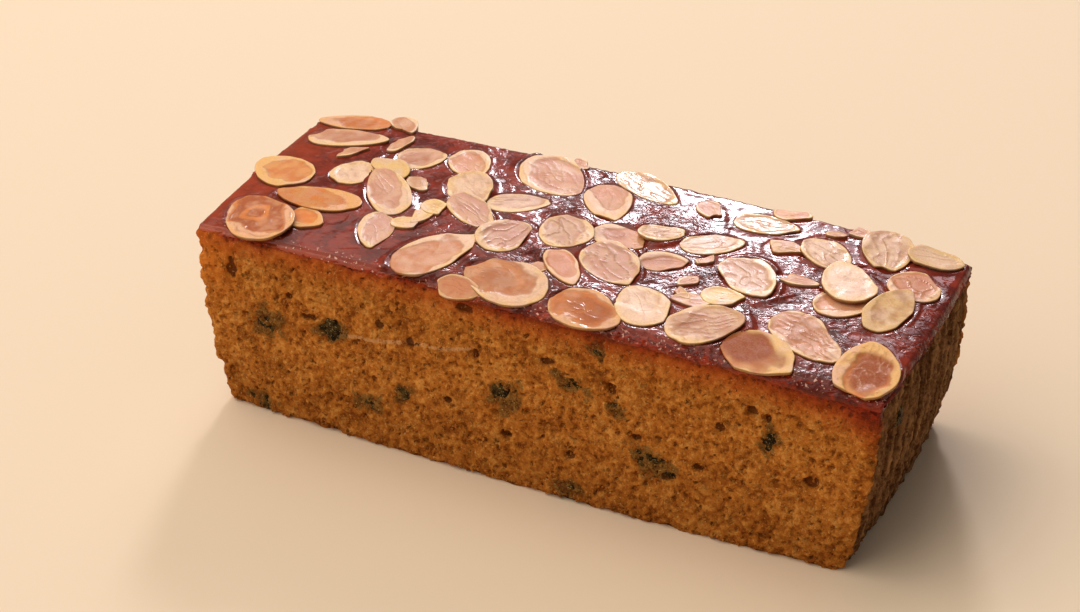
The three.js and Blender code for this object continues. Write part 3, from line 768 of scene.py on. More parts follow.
def almond_finish():
    finish = Finish("almond_flesh", CORE_TAN)
    warmth, vein, window = (finish.attribute(name) for name in ("warmth", "vein", "window"))
    cloud = finish.noise(2.6, detail=3.0)
    broad = finish.noise(6.0, detail=1.0)
    fleck = finish.noise(0.5, roughness=0.65)
    swirl = finish.step(cloud * 0.5 + finish.attribute("swirl") * 0.5, 0.3, 0.6)
    finish.paint(finish.attribute("pink"), CORE_PINK)
    finish.paint(warmth, finish.mix(swirl, CORE_WARM, WARM_DARK))
    pale = finish.mix(finish.attribute("yellow") * finish.step(broad, 0.3, 0.55), RIM_COLOR, RIM_YELLOW)
    pale = finish.mix(warmth * 0.45, pale, CORE_WARM)
    finish.paint(finish.step(cloud * 0.5 + broad * 0.5, 0.42, 0.62) * 0.4, pale)
    rim = finish.step(finish.attribute("rim") + (cloud - 0.5) * 0.9, 0.1, 0.9)
    finish.paint(rim, pale)
    skin = rim * (1 - rim) * 4
    finish.paint(skin * 0.3, VEIN_COLOR)
    finish.paint(window * 0.95, WINDOW_COLOR)
    finish.paint(vein * 0.55, VEIN_COLOR)
    finish.paint(finish.step(fleck, 0.3, 0.7, 0.25, 0.0), CORE_TAN)
    # Walls and underside painted dark: glazed brown and painted shadow under the flake's edge.
    finish.paint(finish.attribute("wall") * 0.6, WALL_GLAZE_SHADE)
    gloss = finish.attribute("gloss") + window * vein * 2
    rough = finish.step(cloud * 0.6 + fleck * 0.4, 0.35, 0.6, 0.38, 0.48) - gloss * 0.3
    finish.set(Base_Color=finish.color, Roughness=rough, Specular_IOR_Level=0.2)
    finish.set(Subsurface_Weight=0.2, Subsurface_Radius=(1.0, 0.5, 0.2), Subsurface_Scale=0.8 * MM)
    finish.bump(fleck * 0.15 + cloud * 0.6 + vein * 0.6, 0.12)
    return finish.material


almond_material = almond_finish()

# %% [markdown]
# Half the width of an almond at a share of its half length follows one formula: round behind and
# pointed in front. A flake then needs only its middle, three directions, a length and a width.

# %% Flake outline and frame
FLAKE_TRIM = 0.97
ALMOND_BELLY, ALMOND_TAPER, ALMOND_TIP = 1.06, 0.21, 0.13


def almond_half_width(share, width):
    taper = ALMOND_BELLY - ALMOND_TAPER * share - ALMOND_TIP * np.maximum(0, share) ** 3
    return (width / 2) * np.sqrt(np.maximum(0, 1 - share**2)) * taper


class Flake:
    """A flake's frame: the middle of its underside, its directions and its size in millimetres."""

    def __init__(self, middle, forward, up, size):
        self.middle = np.asarray(middle, float)
        self.up = np.asarray(up, float) / np.linalg.norm(up)
        side = np.cross(self.up, forward)
        self.side = side / np.linalg.norm(side)
        self.forward = np.cross(self.side, self.up)
        self.length, self.width, self.thickness = size

    def local(self, points):
        offset = points - self.middle
        return offset @ self.forward, offset @ self.side, offset @ self.up

    def world(self, s, t, n):
        return self.middle + np.outer(s, self.forward) + np.outer(t, self.side) + np.outer(n, self.up)


def packed_flake(name):
    """The frame of a packed flake, from the spread of its points."""
    points = np.unique(points_of(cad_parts[name]).round(3), axis=0)
    centred = points - points.mean(axis=0)
    forward, _, up = np.linalg.svd(centred, full_matrices=False)[2]
    up = up * np.sign(up[2])
    side = np.cross(up, forward)
    ahead = centred @ forward > 0
    if np.abs(centred[ahead] @ side).mean() > np.abs(centred[~ahead] @ side).mean():
        forward, side = -forward, -side
    spans = [points @ axis for axis in (forward, side, up)]
    lows, highs = [v.min() for v in spans], [v.max() for v in spans]
    middle = forward * (lows[0] + highs[0]) / 2 + side * (lows[1] + highs[1]) / 2 + up * lows[2]
    length, width = (highs[0] - lows[0]) / FLAKE_TRIM, (highs[1] - lows[1]) / FLAKE_TRIM
    return Flake(middle, forward, up, (length, width, highs[2] - lows[2]))


def ridges(values, sharpness):
    """Thin crests where a noise passes through zero."""
    return np.clip(1 - np.abs(values) * sharpness, 0, 1) ** 2


# %% One flake
FLAKE_SINK = 0.25
FLAKE_SHARE = 0.74
CRISP_EDGE = 0.22
RIM_DISTANCES = np.array([2.6, 2.1, 1.7, 1.3, 1.0, 0.7, 0.45, 0.28, 0.14, 0.05, 0.0])


def flake_body(
    name, flake, seed, around=84, warmth=0.1, pink=0.3, pale=0.0, hollow=0.2, wrinkle=0.04, rings=0.0,
    veins=0.4, rim=0.5, crescent=(-45, 0.12), window=None, ragged=0.045, breaks=2, break_at=(0.84, 0.98),
    gloss=0.3, yellow=0.0,
):
    """A flake over its frame's outline. Its middle is an oval that leaves a crescent of pale rim, widest
    towards a bearing on the table. window: strength, place ahead, place aside, reach. breaks: how many
    straight sides it has, each at a share of its half size within break_at."""
    rng = np.random.default_rng(seed)
    angle = np.linspace(0, 2 * np.pi, around, endpoint=False)
    share = np.cos(angle)
    waves = (2, 3, 5, 8, 13, 21)
    wave = sum(rng.uniform(0.3, 1) * np.cos(n * angle + rng.uniform(0, 6.3)) / n**0.8 for n in waves)
    edge = 1 + ragged * wave
    for _ in range(breaks):
        line, distance = rng.uniform(0, 2 * np.pi), rng.uniform(*break_at)
        edge = edge * np.minimum(1, distance / np.maximum(np.cos(angle - line), distance))
    outline_s = flake.length / 2 * share * edge
    outline_t = almond_half_width(share, flake.width) * np.sign(np.sin(angle) + 1e-12) * edge
    tangent_s = np.roll(outline_s, -1) - np.roll(outline_s, 1)
    tangent_t = np.roll(outline_t, -1) - np.roll(outline_t, 1)
    reach = (outline_s * tangent_t - outline_t * tangent_s) / np.hypot(tangent_s, tangent_t)
    near_rim = 1 - RIM_DISTANCES / max(flake.width / 2, RIM_DISTANCES[0] + 0.8)
    radii = np.concatenate([np.linspace(0.06, near_rim[0], 9, endpoint=False), near_rim])[:, None]
    s, t = radii * outline_s, radii * outline_t
    inward = (1 - radii) * reach
    spot = np.stack([s, t, np.full_like(s, seed * 7.3)], axis=-1).reshape(-1, 3)
    broad = noise_at(spot, 5.0).reshape(s.shape)
    small = noise_at(spot, 1.8).reshape(s.shape)
    bearing = math.radians(crescent[0])
    towards = np.array([math.cos(bearing), math.sin(bearing), 0.0]) * crescent[1]
    reach_s, reach_t = 1 - 1.3 * rim / (flake.length / 2), 1 - rim / (flake.width / 2)
    away = np.hypot(
        (s / (flake.length / 2) + towards @ flake.forward) / reach_s,
        (t / (flake.width / 2) + towards @ flake.side) / reach_t,
    )
    core = fade(away + broad * 0.3 + small * 0.1, 0.8, 1.08)
    aside = t / np.maximum(almond_half_width(s / (flake.length / 2), flake.width), 0.8)
    fan = (aside * 2.6 + broad * 0.5, s / 6.0 + broad * 0.4, np.full_like(s, seed * 3.1))
    crests = ridges(noise_at(np.stack(fan, axis=-1).reshape(-1, 3), 1.0).reshape(s.shape), 6.0)
    turns = np.sin(2 * np.pi * (away * 1.5 + broad * 0.45 + seed * 0.37))
    loops = ridges(turns, 1.8) * rings
    vein = np.maximum(crests * veins, loops) * smooth_step(inward, 0.5, 1.2)
    rounding = 1 - np.sqrt(np.clip(1 - (1 - np.clip(inward / CRISP_EDGE, 0, 1)) ** 2, 0, 1))
    height = flake.thickness * FLAKE_SHARE - FLAKE_SINK - CRISP_EDGE * rounding - hollow * core
    height = height + wrinkle * (vein * 2.2 + small * 0.5) * smooth_step(inward, 0.1, 0.9)
    height = height + 0.15 * broad * smooth_step(inward, 0, 2)
    tops = flake.world(s.ravel(), t.ravel(), height.ravel())
    hub = flake.world([0], [0], [height[0].mean()])
    lower = flake.world(outline_s * 0.985, outline_t * 0.985, np.full(around, -FLAKE_SINK))
    root = flake.world([0], [0], [-FLAKE_SINK])
    points = np.vstack([tops, hub, lower, root])
    index = np.arange(s.size).reshape(s.shape)
    centre = index.size
    under = centre + 1 + np.arange(around)
    quads = []
    for inner, outer in zip(index, [*index[1:], under]):
        quads.append(np.column_stack([inner, outer, np.roll(outer, -1), np.roll(inner, -1)]))
    caps = [
        np.column_stack([np.full(around, centre), index[0], np.roll(index[0], -1)]),
        np.column_stack([np.full(around, len(points) - 1), np.roll(under, -1), under]),
    ]
    clear = np.zeros_like(s)
    if window:
        strength, ahead, beside, size = window
        gone = np.hypot(s / (flake.length / 2) - ahead, t / (flake.width / 2) - beside) / size
        clear = strength * fade(gone + broad * 0.3, 0.55, 1.0) * (1 - 0.6 * vein)

    def spread(values, rest):
        return np.concatenate([values.ravel(), values[0, :1], np.full(around + 1, rest)])

    yellowed = 0.7 - 0.7 * smooth_step(inward + broad * 1.6, 0.3, 2.6)
    attributes = {
        "rim": spread(np.maximum(1 - core, pale), 1.0),
        "vein": spread(vein, 0.0),
        "window": spread(clear, 0.0),
        # wall: the outer edge and underside, for the glazed brown and the painted shadow there.
        "wall": spread(fade(inward, 0.0, 0.12), 1.0),
        "swirl": spread((0.5 + 0.5 * turns) * rings, 0.0),
        "yellow": spread(np.maximum(yellowed, yellow), 1.0),
    }
    for key, value in (("warmth", warmth), ("pink", pink), ("gloss", gloss)):
        attributes[key] = np.full(len(points), value)
    return make_piece(name, points, [np.vstack(quads), np.vstack(caps)], almond_material, attributes)


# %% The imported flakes
# Flakes that differ from the rest: how warm and how pink their middle is, how it is lined and sunk,
# and where the flesh has turned clear and brown.
FLAKE_CHARACTER = {
    1: dict(crescent=(200, 0.3), warmth=0.75, window=(0.35, 0, 0, 0.8)),
    2: dict(crescent=(-63, 0.35), window=(0.3, 0, 0.1, 0.85), pink=0.5),
    3: dict(warmth=0.6, rim=1.8, hollow=0.15, pink=0.0, veins=0.2, crescent=(200, 0.1), yellow=1.0),
    4: dict(pink=0.6, pale=0.8, veins=0.5, rim=0.6),
    5: dict(warmth=1.0, hollow=0.1, crescent=(30, 0.3), veins=0.2, gloss=0.5, pale=0.4, yellow=1.0),
    6: dict(warmth=0.8, rings=1.0, rim=0.7, hollow=0.3, wrinkle=0.12, crescent=(-60, 0.12), gloss=0.8),
    7: dict(window=(0.4, -0.2, 0, 0.8), pink=0.4, crescent=(-63, 0.2)),
    8: dict(pale=0.95, pink=0.0, veins=0.1, gloss=0.1, yellow=1.0),
    9: dict(warmth=0.15, crescent=(-25, 0.3), rim=0.7, pink=0.7),
    10: dict(warmth=0.3, crescent=(0, 0.15), rim=0.7),
    11: dict(pink=0.8, rim=0.4, pale=0.8),
    12: dict(pink=1.0, crescent=(-120, 0.1)),
    13: dict(pink=0.2, warmth=0.25, crescent=(60, 0.3), rim=0.7, hollow=0.16, gloss=0.1),
    14: dict(warmth=0.2, rings=0.5, rim=0.9, pink=0.8, crescent=(200, 0.15)),
    15: dict(pink=0.8, crescent=(-63, 0.35), veins=0.8, pale=0.6, gloss=0.1),
    16: dict(pink=1.0, rim=0.4, veins=0.7),
    17: dict(pink=1.0, veins=0.8, wrinkle=0.08, crescent=(-120, 0.15), gloss=0.4),
    18: dict(warmth=0.35, crescent=(-75, 0.6), gloss=0.0, pale=0.25),
    19: dict(pink=0.6, wrinkle=0.06, veins=0.6, pale=0.6, gloss=0.8),
    20: dict(window=(0.45, -0.4, 0, 0.8), crescent=(200, 0.2), warmth=0.2, gloss=0.0),
    21: dict(pale=0.5, pink=1.0, veins=1.0, wrinkle=0.09, gloss=0.1),
    22: dict(warmth=0.6, pink=0.0, window=(0.3, 0, 0, 0.9), rim=0.7, crescent=(-70, 0.15),
             hollow=0.15, veins=0.0, wrinkle=0.01, gloss=0.0),
    23: dict(pink=1.0, veins=0.9, wrinkle=0.09, rim=0.4, pale=0.2),
    24: dict(rings=0.6, rim=0.9, warmth=0.3, pink=0.1, crescent=(-35, 0.22),
             window=(0.3, 0.1, 0.2, 0.6)),
    25: dict(warmth=0.75, hollow=0.25, rings=0.4, crescent=(-10, 0.25), wrinkle=0.12,
             window=(0.55, 0, 0, 0.8), gloss=1.0, rim=0.7),
    26: dict(pink=0.9, veins=0.7, pale=0.75, gloss=0.4),
    27: dict(pink=0.9, wrinkle=0.08, pale=0.6, gloss=0.4),
    28: dict(window=(0.5, -0.3, 0.2, 0.8), crescent=(120, 0.3), pink=0.5, warmth=0.2, gloss=0.0),
    29: dict(pink=0.7, crescent=(-50, 0.55), rim=0.4, veins=0.3, pale=0.8),
    30: dict(pink=0.6, wrinkle=0.05, pale=0.6, gloss=0.8),
    31: dict(pink=0.9, veins=0.5, wrinkle=0.05, rim=0.7, crescent=(-30, 0.15), gloss=0.45, pale=0.4),
    32: dict(pink=0.8, veins=0.7, pale=0.7, gloss=0.6),
    33: dict(pink=0.5, warmth=0.4, rim=0.7, gloss=0.5),
    34: dict(pink=1.0, veins=0.1, rim=0.8, crescent=(-50, 0.18), hollow=0.12, wrinkle=0.03, pale=0.8,
             gloss=0.5),
    35: dict(pink=1.0, veins=0.7, wrinkle=0.08, rim=0.6, pale=0.7, gloss=0.5),
    36: dict(pink=0.7, veins=0.8, warmth=0.45, wrinkle=0.07, window=(0.35, 0, 0.2, 0.8)),
    37: dict(pale=1.0, pink=0.4, veins=0.6, gloss=0.8),
    38: dict(pale=0.7, pink=0.1, veins=0.1, wrinkle=0.02, crescent=(-120, 0.2), gloss=0.1, yellow=0.7),
    39: dict(veins=0.8, wrinkle=0.07, warmth=0.3, rings=0.2, pink=0.4, pale=0.3,
             window=(0.4, -0.3, 0, 0.5)),
    40: dict(window=(1.0, -0.25, 0, 1.0), rim=0.6, hollow=0.25, crescent=(15, 0.36), veins=0.1,
             wrinkle=0.03, gloss=-0.4, warmth=0.3, pink=0.0, yellow=0.9),
    41: dict(rings=0.4, veins=0.7, wrinkle=0.06, pink=0.5, rim=0.6, crescent=(200, 0.2), pale=0.5,
             gloss=0.2, warmth=0.2, window=(0.5, -0.45, 0.3, 0.5)),
    42: dict(window=(1.0, -0.05, -0.15, 0.85), hollow=0.4, wrinkle=0.07, veins=0.8, warmth=0.6, pink=0.0,
             rim=1.5, crescent=(120, 0.25), gloss=-0.6, yellow=1.0, rings=0.4),
}
ALMOND_NODES = sorted(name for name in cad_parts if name.startswith("almond"))
# One more flake droops over the front edge: its middle, its direction, its up and its size.
HANGING_FLAKE = Flake((-17.5, -32.8, 52.4), (1, 0, 0), (0, -0.5, 0.87), (13.0, 6.5, 1.1))


def make_flakes():
    flakes = []
    for number, name in enumerate(ALMOND_NODES, start=1):
        flake = packed_flake(name)
        character = FLAKE_CHARACTER.get(number, {})
        piece = flake_body(f"flake_{number:02d}", flake, seed=number, **character)
        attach(piece, "root")
        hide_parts(name)
        flakes.append(flake)
    hanging = flake_body("hanging_flake", HANGING_FLAKE, 140, warmth=0.5, pink=0.6, rim=0.3, hollow=0.1)
    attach(hanging, "root")
    return [*flakes, HANGING_FLAKE]


flakes = make_flakes()
print("flakes:", len(flakes), "the longest", round(max(f.length for f in flakes), 1), "mm")

# %% [markdown]
# ## Almond scraps
# Between the flakes lie broken bits. In the frame they are part of the sponge's solid, so their places
# are repeated here: along, across, length, width and turn, as they lie. Most have an almond's outline
# with a few straight breaks, and a scrap is a flake with that character, so the same code makes both.

# %% Scraps
SCRAPS = [
    (-76.5, 15, 12, 4, 35), (-69, 33, 11, 7, -50), (-69.5, -21, 12, 8.5, -10), (-65.5, 24, 10, 6, 65),
    (-49.5, 7, 9, 7, -50), (-42.5, -13, 9, 5, 20), (-39.5, -3.5, 9, 6, -20), (-41.5, -8.5, 9, 5, 60),
    (-31.5, -31, 8, 4, 10), (-15, 32.5, 8, 5, 0), (-2.5, -18, 7, 5, 30), (27, 25, 10, 6, -40),
    (47, 32, 10, 6, 10), (50.5, 15.5, 11, 8, 5), (58.5, 3, 13, 4, 3), (45.5, -12, 11, 7, 10),
    (35.5, -9, 7, 4, 50), (35, -14.5, 7, 3, -30), (35, 2, 6, 4, 80), (65, 32, 8, 5, -20),
    (61, 27.5, 6, 3, 10), (39, -17, 10, 6, 20),
]
SCRAP_CHARACTER = {
    3: dict(warmth=1.0, rim=1.1, hollow=0.25, breaks=1, yellow=1.0), 5: dict(warmth=0.3, pale=0.5),
    6: dict(pale=0.9, yellow=0.8, breaks=1), 7: dict(pale=0.8, yellow=1.0, breaks=1),
    8: dict(pale=0.9, yellow=1.0, breaks=1),
    9: dict(warmth=0.3, pink=0.8), 13: dict(warmth=0.3, yellow=1.0),
    14: dict(warmth=0.3, pale=0.5, yellow=1.0),
    16: dict(warmth=0.2, pale=0.8, rim=1.2, breaks=1, yellow=1.0),
    22: dict(pink=0.8, breaks=1),
}
SCRAP_SHAPE = dict(hollow=0.08, rim=0.4, ragged=0.06, breaks=3, break_at=(0.45, 0.8))
SCRAP_THICKNESS = 1.95
SCRAP_LONGER, SCRAP_WIDER = 1.04, 1.06


def top_height(x, y):
    """Height of the bare top of the loaf above a place."""
    return float(CORNER_HEIGHT + top_rise(np.float64(x), np.float64(y)))


def lying_flake(x, y, length, width, turn, thickness):
    """The frame of a flake that lies flat on the top."""
    slope_x = top_height(x + 0.5, y) - top_height(x - 0.5, y)
    slope_y = top_height(x, y + 0.5) - top_height(x, y - 0.5)
    ahead = (math.cos(math.radians(turn)), math.sin(math.radians(turn)), 0.0)
    middle = (x, y, top_height(x, y))
    return Flake(middle, ahead, (-slope_x, -slope_y, 1.0), (length, width, thickness))


def make_scraps():
    scraps = []
    for number, (x, y, length, width, turn) in enumerate(SCRAPS, start=1):
        scrap = lying_flake(x, y, length * SCRAP_LONGER, width * SCRAP_WIDER, turn, SCRAP_THICKNESS)
        character = SCRAP_SHAPE | SCRAP_CHARACTER.get(number, {})
        piece = flake_body(f"scrap_{number:02d}", scrap, 100 + number, around=48, **character)
        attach(piece, "root")
        scraps.append(scrap)
    return scraps


scraps = make_scraps()
print("scraps:", len(scraps))

# %% [markdown]
# ## The glaze
# A sugar glaze runs between the flakes, climbs a little way up each rim and thins out over the top
# edges of the loaf. It could be a simulated liquid, but its shape is simple to state: a thin layer on
# the bare form, lifted near each flake and tucked under it. Where it dried it drew into wrinkles.

# %% Finish of the glaze
GLAZE_DARK = (0.130, 0.013, 0.006)
GLAZE_LIGHT = (0.300, 0.033, 0.014)
GLAZE_THIN = (0.480, 0.070, 0.010)
GLAZE_LOW = (0.440, 0.072, 0.010)
# Painted shade: in wrinkle hollows, at the foot of each flake and in the pores of the bare edge.
GLAZE_SHADE = (0.045, 0.006, 0.003)
# Painted highlight for glints of sugar grains.
GLAZE_GLINT = (0.980, 0.600, 0.460)
FLOW_STRETCH = (0.45, 1.0, 1.0)
FLOW_SIZE, FLOW_PUSH = 7.0, 2.6


def glaze_flow(sheet):
    """Places pushed about and drawn out along the loaf, as the drying glaze was."""
    return sheet.vectors("MULTIPLY", sheet.warped(FLOW_SIZE, FLOW_PUSH), FLOW_STRETCH)


def glaze_finish():
    finish = Finish("sugar_glaze", GLAZE_DARK)
    wrinkled, side, thin = (finish.attribute(name) for name in ("wrinkled", "side", "thin"))
    cloud = finish.noise(6.0, detail=3.0)
    fine = finish.noise(0.6, roughness=0.6)
    flow = glaze_flow(finish)
    small = finish.noise(0.9, flow)
    drawn = finish.from_middle(finish.noise(2.2, flow, distortion=0.8))
    drawn = finish.step(drawn, 0.0, 0.22, 1.0, 0.0) * wrinkled
    finish.paint(finish.step(cloud * 0.7 + small * 0.3, 0.38, 0.62), GLAZE_LIGHT)
    # The drawn wrinkle lines are darkened: painted shade in their hollows.
    finish.paint(drawn * 0.7, GLAZE_SHADE)
    wet = finish.mix(finish.step(cloud * 0.4 + small * 0.6, 0.42, 0.6), SOAKED_DARK, SOAKED_COLOR)
    finish.paint(side, finish.mix(finish.attribute("soak"), GLAZE_LOW, wet))
    finish.paint(thin, GLAZE_THIN)
    # Painted shadow round the foot of each flake, weaker round the scraps.
    finish.paint(finish.attribute("beside") * 0.38, GLAZE_SHADE)
    pores, pinholes, grain = crumb_pattern(finish)
    bare = finish.larger(side, thin)
    # Painted shade in the pores of the bare crumb at the edges.
    finish.paint(finish.larger(pores, pinholes * 0.5) * bare * 0.4, GLAZE_SHADE)
    # Painted glints: sugar grains near the front edge catching light, painted pale and also bumped.
    glints = finish.step(finish.noise(0.8, detail=1.0), 0.64, 0.68)
    glints = glints * finish.attribute("glinting_sugar")
    finish.paint(glints * 0.85, GLAZE_GLINT)
    shine = finish.step(fine + wrinkled * 0.3 - bare * 0.1, 0.45, 0.85, 0.12, 0.29)
    finish.set(Base_Color=finish.color, Roughness=shine, Specular_IOR_Level=0.3)
    coarse = finish.step(finish.noise(6.0, detail=1.0), 0.44, 0.6, 0.08, 1.0)
    rough = finish.larger(wrinkled, bare) + 0.5
    grains = (fine * 0.3 + small * 0.7) * finish.larger(coarse, bare) * rough + glints * 1.2
    crumb = (grain * 0.35 + fine * 0.25 - pores * 0.4) * bare
    finish.bump(grains * 0.07 + crumb * 0.4 - drawn * 0.1, 1.0)
    return finish.material


glaze_material = glaze_finish()

# %% The layer of glaze
GLAZE_THICKNESS = 0.75
GLAZE_AT_EDGE = 0.4
GLAZE_SKIRT = 4.6
GLAZE_TUCK = 3.2
DEEPEST_RUN = 3.6
RIM_CLIMB = 0.4
RIM_REACH = 1.3
GLAZE_LEAST = -0.6
MOST_CLIMB = 1.0
GLAZE_AT_SCRAP = 0.6
SCRAP_SHADE_SHARE = 0.3


# %% Where the glaze climbs and where it is covered
def flakes_near(points):
    """For each flake, the points near it, how far outside its edge they are, and how far it is above
    them."""
    for flake in [*scraps, *flakes]:
        near = np.linalg.norm(points[:, :2] - flake.middle[:2], axis=1) < flake.length / 2 + 4
        s, t, n = flake.local(points[near])
        share = np.clip(s / (flake.length / 2), -0.999, 0.999)
        half = np.maximum(almond_half_width(share, flake.width), 0.5)
        ratio = np.hypot(s / (flake.length / 2), t / half * np.sqrt(1 - share**2))
        yield flake, near, (ratio - 1) * math.sqrt(flake.length * flake.width) / 2, -n


def glaze_lift(points):
    """How far the glaze stands off the bare form at each point, how near a flake's edge it is, and
    where a flake covers it, so that it lies calm. Under a scrap it stays whole."""
    from_edge = np.minimum(WIDTH / 2 - np.abs(points[:, 1]), LENGTH / 2 - np.abs(points[:, 0]))
    layer = GLAZE_AT_EDGE + (GLAZE_THICKNESS - GLAZE_AT_EDGE) * smooth_step(from_edge, 0, 2.5)
    lift = layer.copy()
    beside = np.zeros(len(points))
    covered = np.zeros(len(points))
    for flake, near, outside, underside in flakes_near(points):
        climb = np.minimum(underside + RIM_CLIMB * flake.thickness, GLAZE_THICKNESS + MOST_CLIMB)
        meniscus = np.exp(-((np.maximum(outside, 0) / RIM_REACH) ** 2))
        wanted = layer[near] + np.maximum(climb - layer[near], 0) * meniscus
        under = smooth_step(outside, -1.6, -0.6)
        wanted = np.minimum(wanted, underside - FLAKE_SINK + 0.1) * (1 - under) + wanted * under
        mark = 1.0 if flake in flakes else SCRAP_SHADE_SHARE
        # beside: where painted shadow darkens the glaze at a flake's foot.
        beside[near] = np.maximum(beside[near], mark * np.exp(-(((outside - 0.15) / 0.4) ** 2)))
        covered[near] = np.maximum(covered[near], fade(outside, -0.2, 1.0))
        lift[near] = np.maximum(lift[near], wanted)
    for flake, near, outside, underside in flakes_near(points):
        open_rim = (flake.thickness * 0.3 + 0.2) * smooth_step(outside, -0.9, 0)
        ceiling = underside - 0.2 + open_rim + 3 * np.maximum(outside, 0)
        least = GLAZE_LEAST if flake in flakes else GLAZE_AT_SCRAP
        lift[near] = np.minimum(lift[near], np.maximum(ceiling, least))
    return lift, beside, covered


# %% Ripples in Geometry Nodes
def glaze_ripples():
    growth = Growth("glaze_ripples", {"Ripple depth": 0.13, "Wrinkle depth": 0.3}, glaze_material)
    ripple = growth.noise(3.8, roughness=0.45, distortion=0.5) - 0.5
    fold = growth.noise(3.2, glaze_flow(growth), detail=1.2, distortion=0.8)
    fold = growth.larger(1 - growth.from_middle(fold) * 4.0, 0.0) ** 1.5
    lift = ripple * growth.given("Ripple depth") * 2
    lift = lift + fold * growth.given("Wrinkle depth") * growth.attribute("wrinkled")
    return growth.push_out(lift * growth.attribute("free") * MM)


# %% The glaze
GLAZE_COUNTS = (440, 161, 19)
GLAZE_RINGS = (0.98, 0.9, 0.5)
# Places where it drew together most: along, across, reach. Where it lies calm, along and across.
WRINKLED_PLACES = [(80, -27, 12), (76, -10, 8), (40, -5, 10), (20, 18, 14), (-8, -14, 9), (92, -8, 8)]
CALM_ALONG, CALM_ACROSS, CALM_SHARE = (-5, 25), (8, 26), 0.7
SUGARED_ALONG, SUGARED_DOWN = (-88, -60), (1.2, 3.2)


def make_glaze():
    low = CORNER_HEIGHT - EDGE_RADII[2] - GLAZE_SKIRT
    block, faces, _, surface, below, on_end = loaf_skin(GLAZE_COUNTS, low, True, GLAZE_RINGS)
    outward = loaf_normals(block)
    lift, beside, covered = glaze_lift(surface)
    depth = band_depth(surface, on_end) * 0.8 + noise_at(surface, 5.0, 6.0) * 1.0 * (1 - on_end)
    depth = np.clip(depth + noise_at(surface, 1.6, 1.0) * 0.5, 0.5, DEEPEST_RUN)
    skirt = smooth_step(below, depth, depth + 1.6)
    edge = fade(WIDTH / 2 - np.abs(surface[:, 1]), 0.5, 4)
    edge = np.maximum(smooth_step(below, 0.2, 1.2), edge) * (1 - skirt)
    lift = lift * (1 - skirt)
    lift = lift + edge * (noise_at(surface, 1.3, 8.0) * 0.3 + noise_at(surface, 2.6, 18.0) * 0.3)
    half = np.array([LENGTH, WIDTH]) / 2
    facing = np.sign(block[:, :2]) * smooth_step(np.abs(block[:, :2]), half - EDGE_ZONE, half)
    points = surface + outward * lift[:, None]
    points[:, :2] -= facing * GLAZE_TUCK * skirt[:, None]
    wrinkled = 0.1 + 0.45 * smooth_step(surface[:, 0], -55, 0) * (0.7 + noise_at(surface, 14.0, 5.0))
    for x, y, reach in WRINKLED_PLACES:
        distance = np.hypot(surface[:, 0] - x, surface[:, 1] - y)
        wrinkled = np.maximum(wrinkled, fade(distance, reach * 0.4, reach))
    calm = smooth_step(surface[:, 0], *CALM_ALONG) * smooth_step(surface[:, 1], *CALM_ACROSS)
    wrinkled = wrinkled * (1 - CALM_SHARE * calm)
    to_left = fade(surface[:, 0], -94, -70)
    near_front = WIDTH / 2 + surface[:, 1] + noise_at(surface, 2.5, 3.0)
    to_edge = fade(near_front, 0, 3) * fade(surface[:, 0], -60, 0)
    side = smooth_step(below, 0.1, 1.4)
    lip = fade(near_front, 0.5, 3.5)
    lip = lip * (0.2 + 0.7 * smooth_step(surface[:, 0], -40, 0))
    # Where the painted sugar glints lie, near the front edge.
    glinting_sugar = fade(near_front, 1.5, 5) * smooth_step(surface[:, 0], *SUGARED_ALONG)
    glinting_sugar = glinting_sugar * fade(below, *SUGARED_DOWN) * np.clip(0.8 + noise_at(surface, 8.0, 31.0), 0, 1)
    attributes = {
        "wrinkled": wrinkled,
        "free": (1 - skirt) * (1 - 0.85 * covered),
        "thin": np.clip(0.35 * to_left + 0.6 * to_edge, 0, 0.85),
        "side": np.maximum(side, lip),
        "soak": soaked(below, run_depth(surface, on_end)),
        # beside: painted shadow at each flake's foot.
        "beside": beside,
        "glinting_sugar": glinting_sugar,
    }
    glaze = make_piece("sugar_glaze", points, faces, glaze_material, attributes)
    glaze_ripples().apply(glaze)
    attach(glaze, "root")
    return glaze


glaze = make_glaze()
print("glaze:", len(glaze.data.polygons), "faces")

# %% [markdown]
# ## The fruit
# Candied fruit and raisins show in the sides as dark, crinkled lumps with a sugary sparkle. Each
# packed lump is copied, its loose faces merged and smoothed by subdivision, and its skin crinkled.

# %% Finish of the fruit
FRUIT_DARK = (0.012, 0.006, 0.001)
FRUIT_OLIVE = (0.095, 0.055, 0.012)
FRUIT_SUGAR = (0.400, 0.290, 0.140)


def fruit_finish():
    finish = Finish("candied_fruit", FRUIT_DARK)
    cloud = finish.noise(1.6, detail=3.0, roughness=0.6)
    sparkle = finish.noise(0.45, detail=1.0)
    finish.paint(finish.step(cloud, 0.4, 0.68), FRUIT_OLIVE)
    finish.paint(finish.step(sparkle, 0.6, 0.7) * 0.7, FRUIT_SUGAR)
    finish.set(Base_Color=finish.color, Roughness=finish.step(sparkle, 0.4, 0.7, 0.4, 0.7))
    finish.set(Specular_IOR_Level=0.06)
    finish.bump(cloud * 0.7 + sparkle * 0.3, 0.5)
    return finish.material


fruit_material = fruit_finish()


# %% Lumps of fruit
def merged_copy(name, node, material):
    """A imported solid's loose triangles as one closed piece."""
    corners = np.empty(len(node.data.polygons) * 3, dtype=np.int32)
    node.data.polygons.foreach_get("vertices", corners)
    unique, inverse = np.unique(points_of(node).round(3), axis=0, return_inverse=True)
    return make_piece(name, unique, [inverse.ravel()[corners].reshape(-1, 3)], material)


FRUIT_SINK = 0.75
FRUIT_SWELL = 0.3
# A lump whose middle lies beyond this share of the length or the width is in an end or a side.
IN_SIDE = 0.44


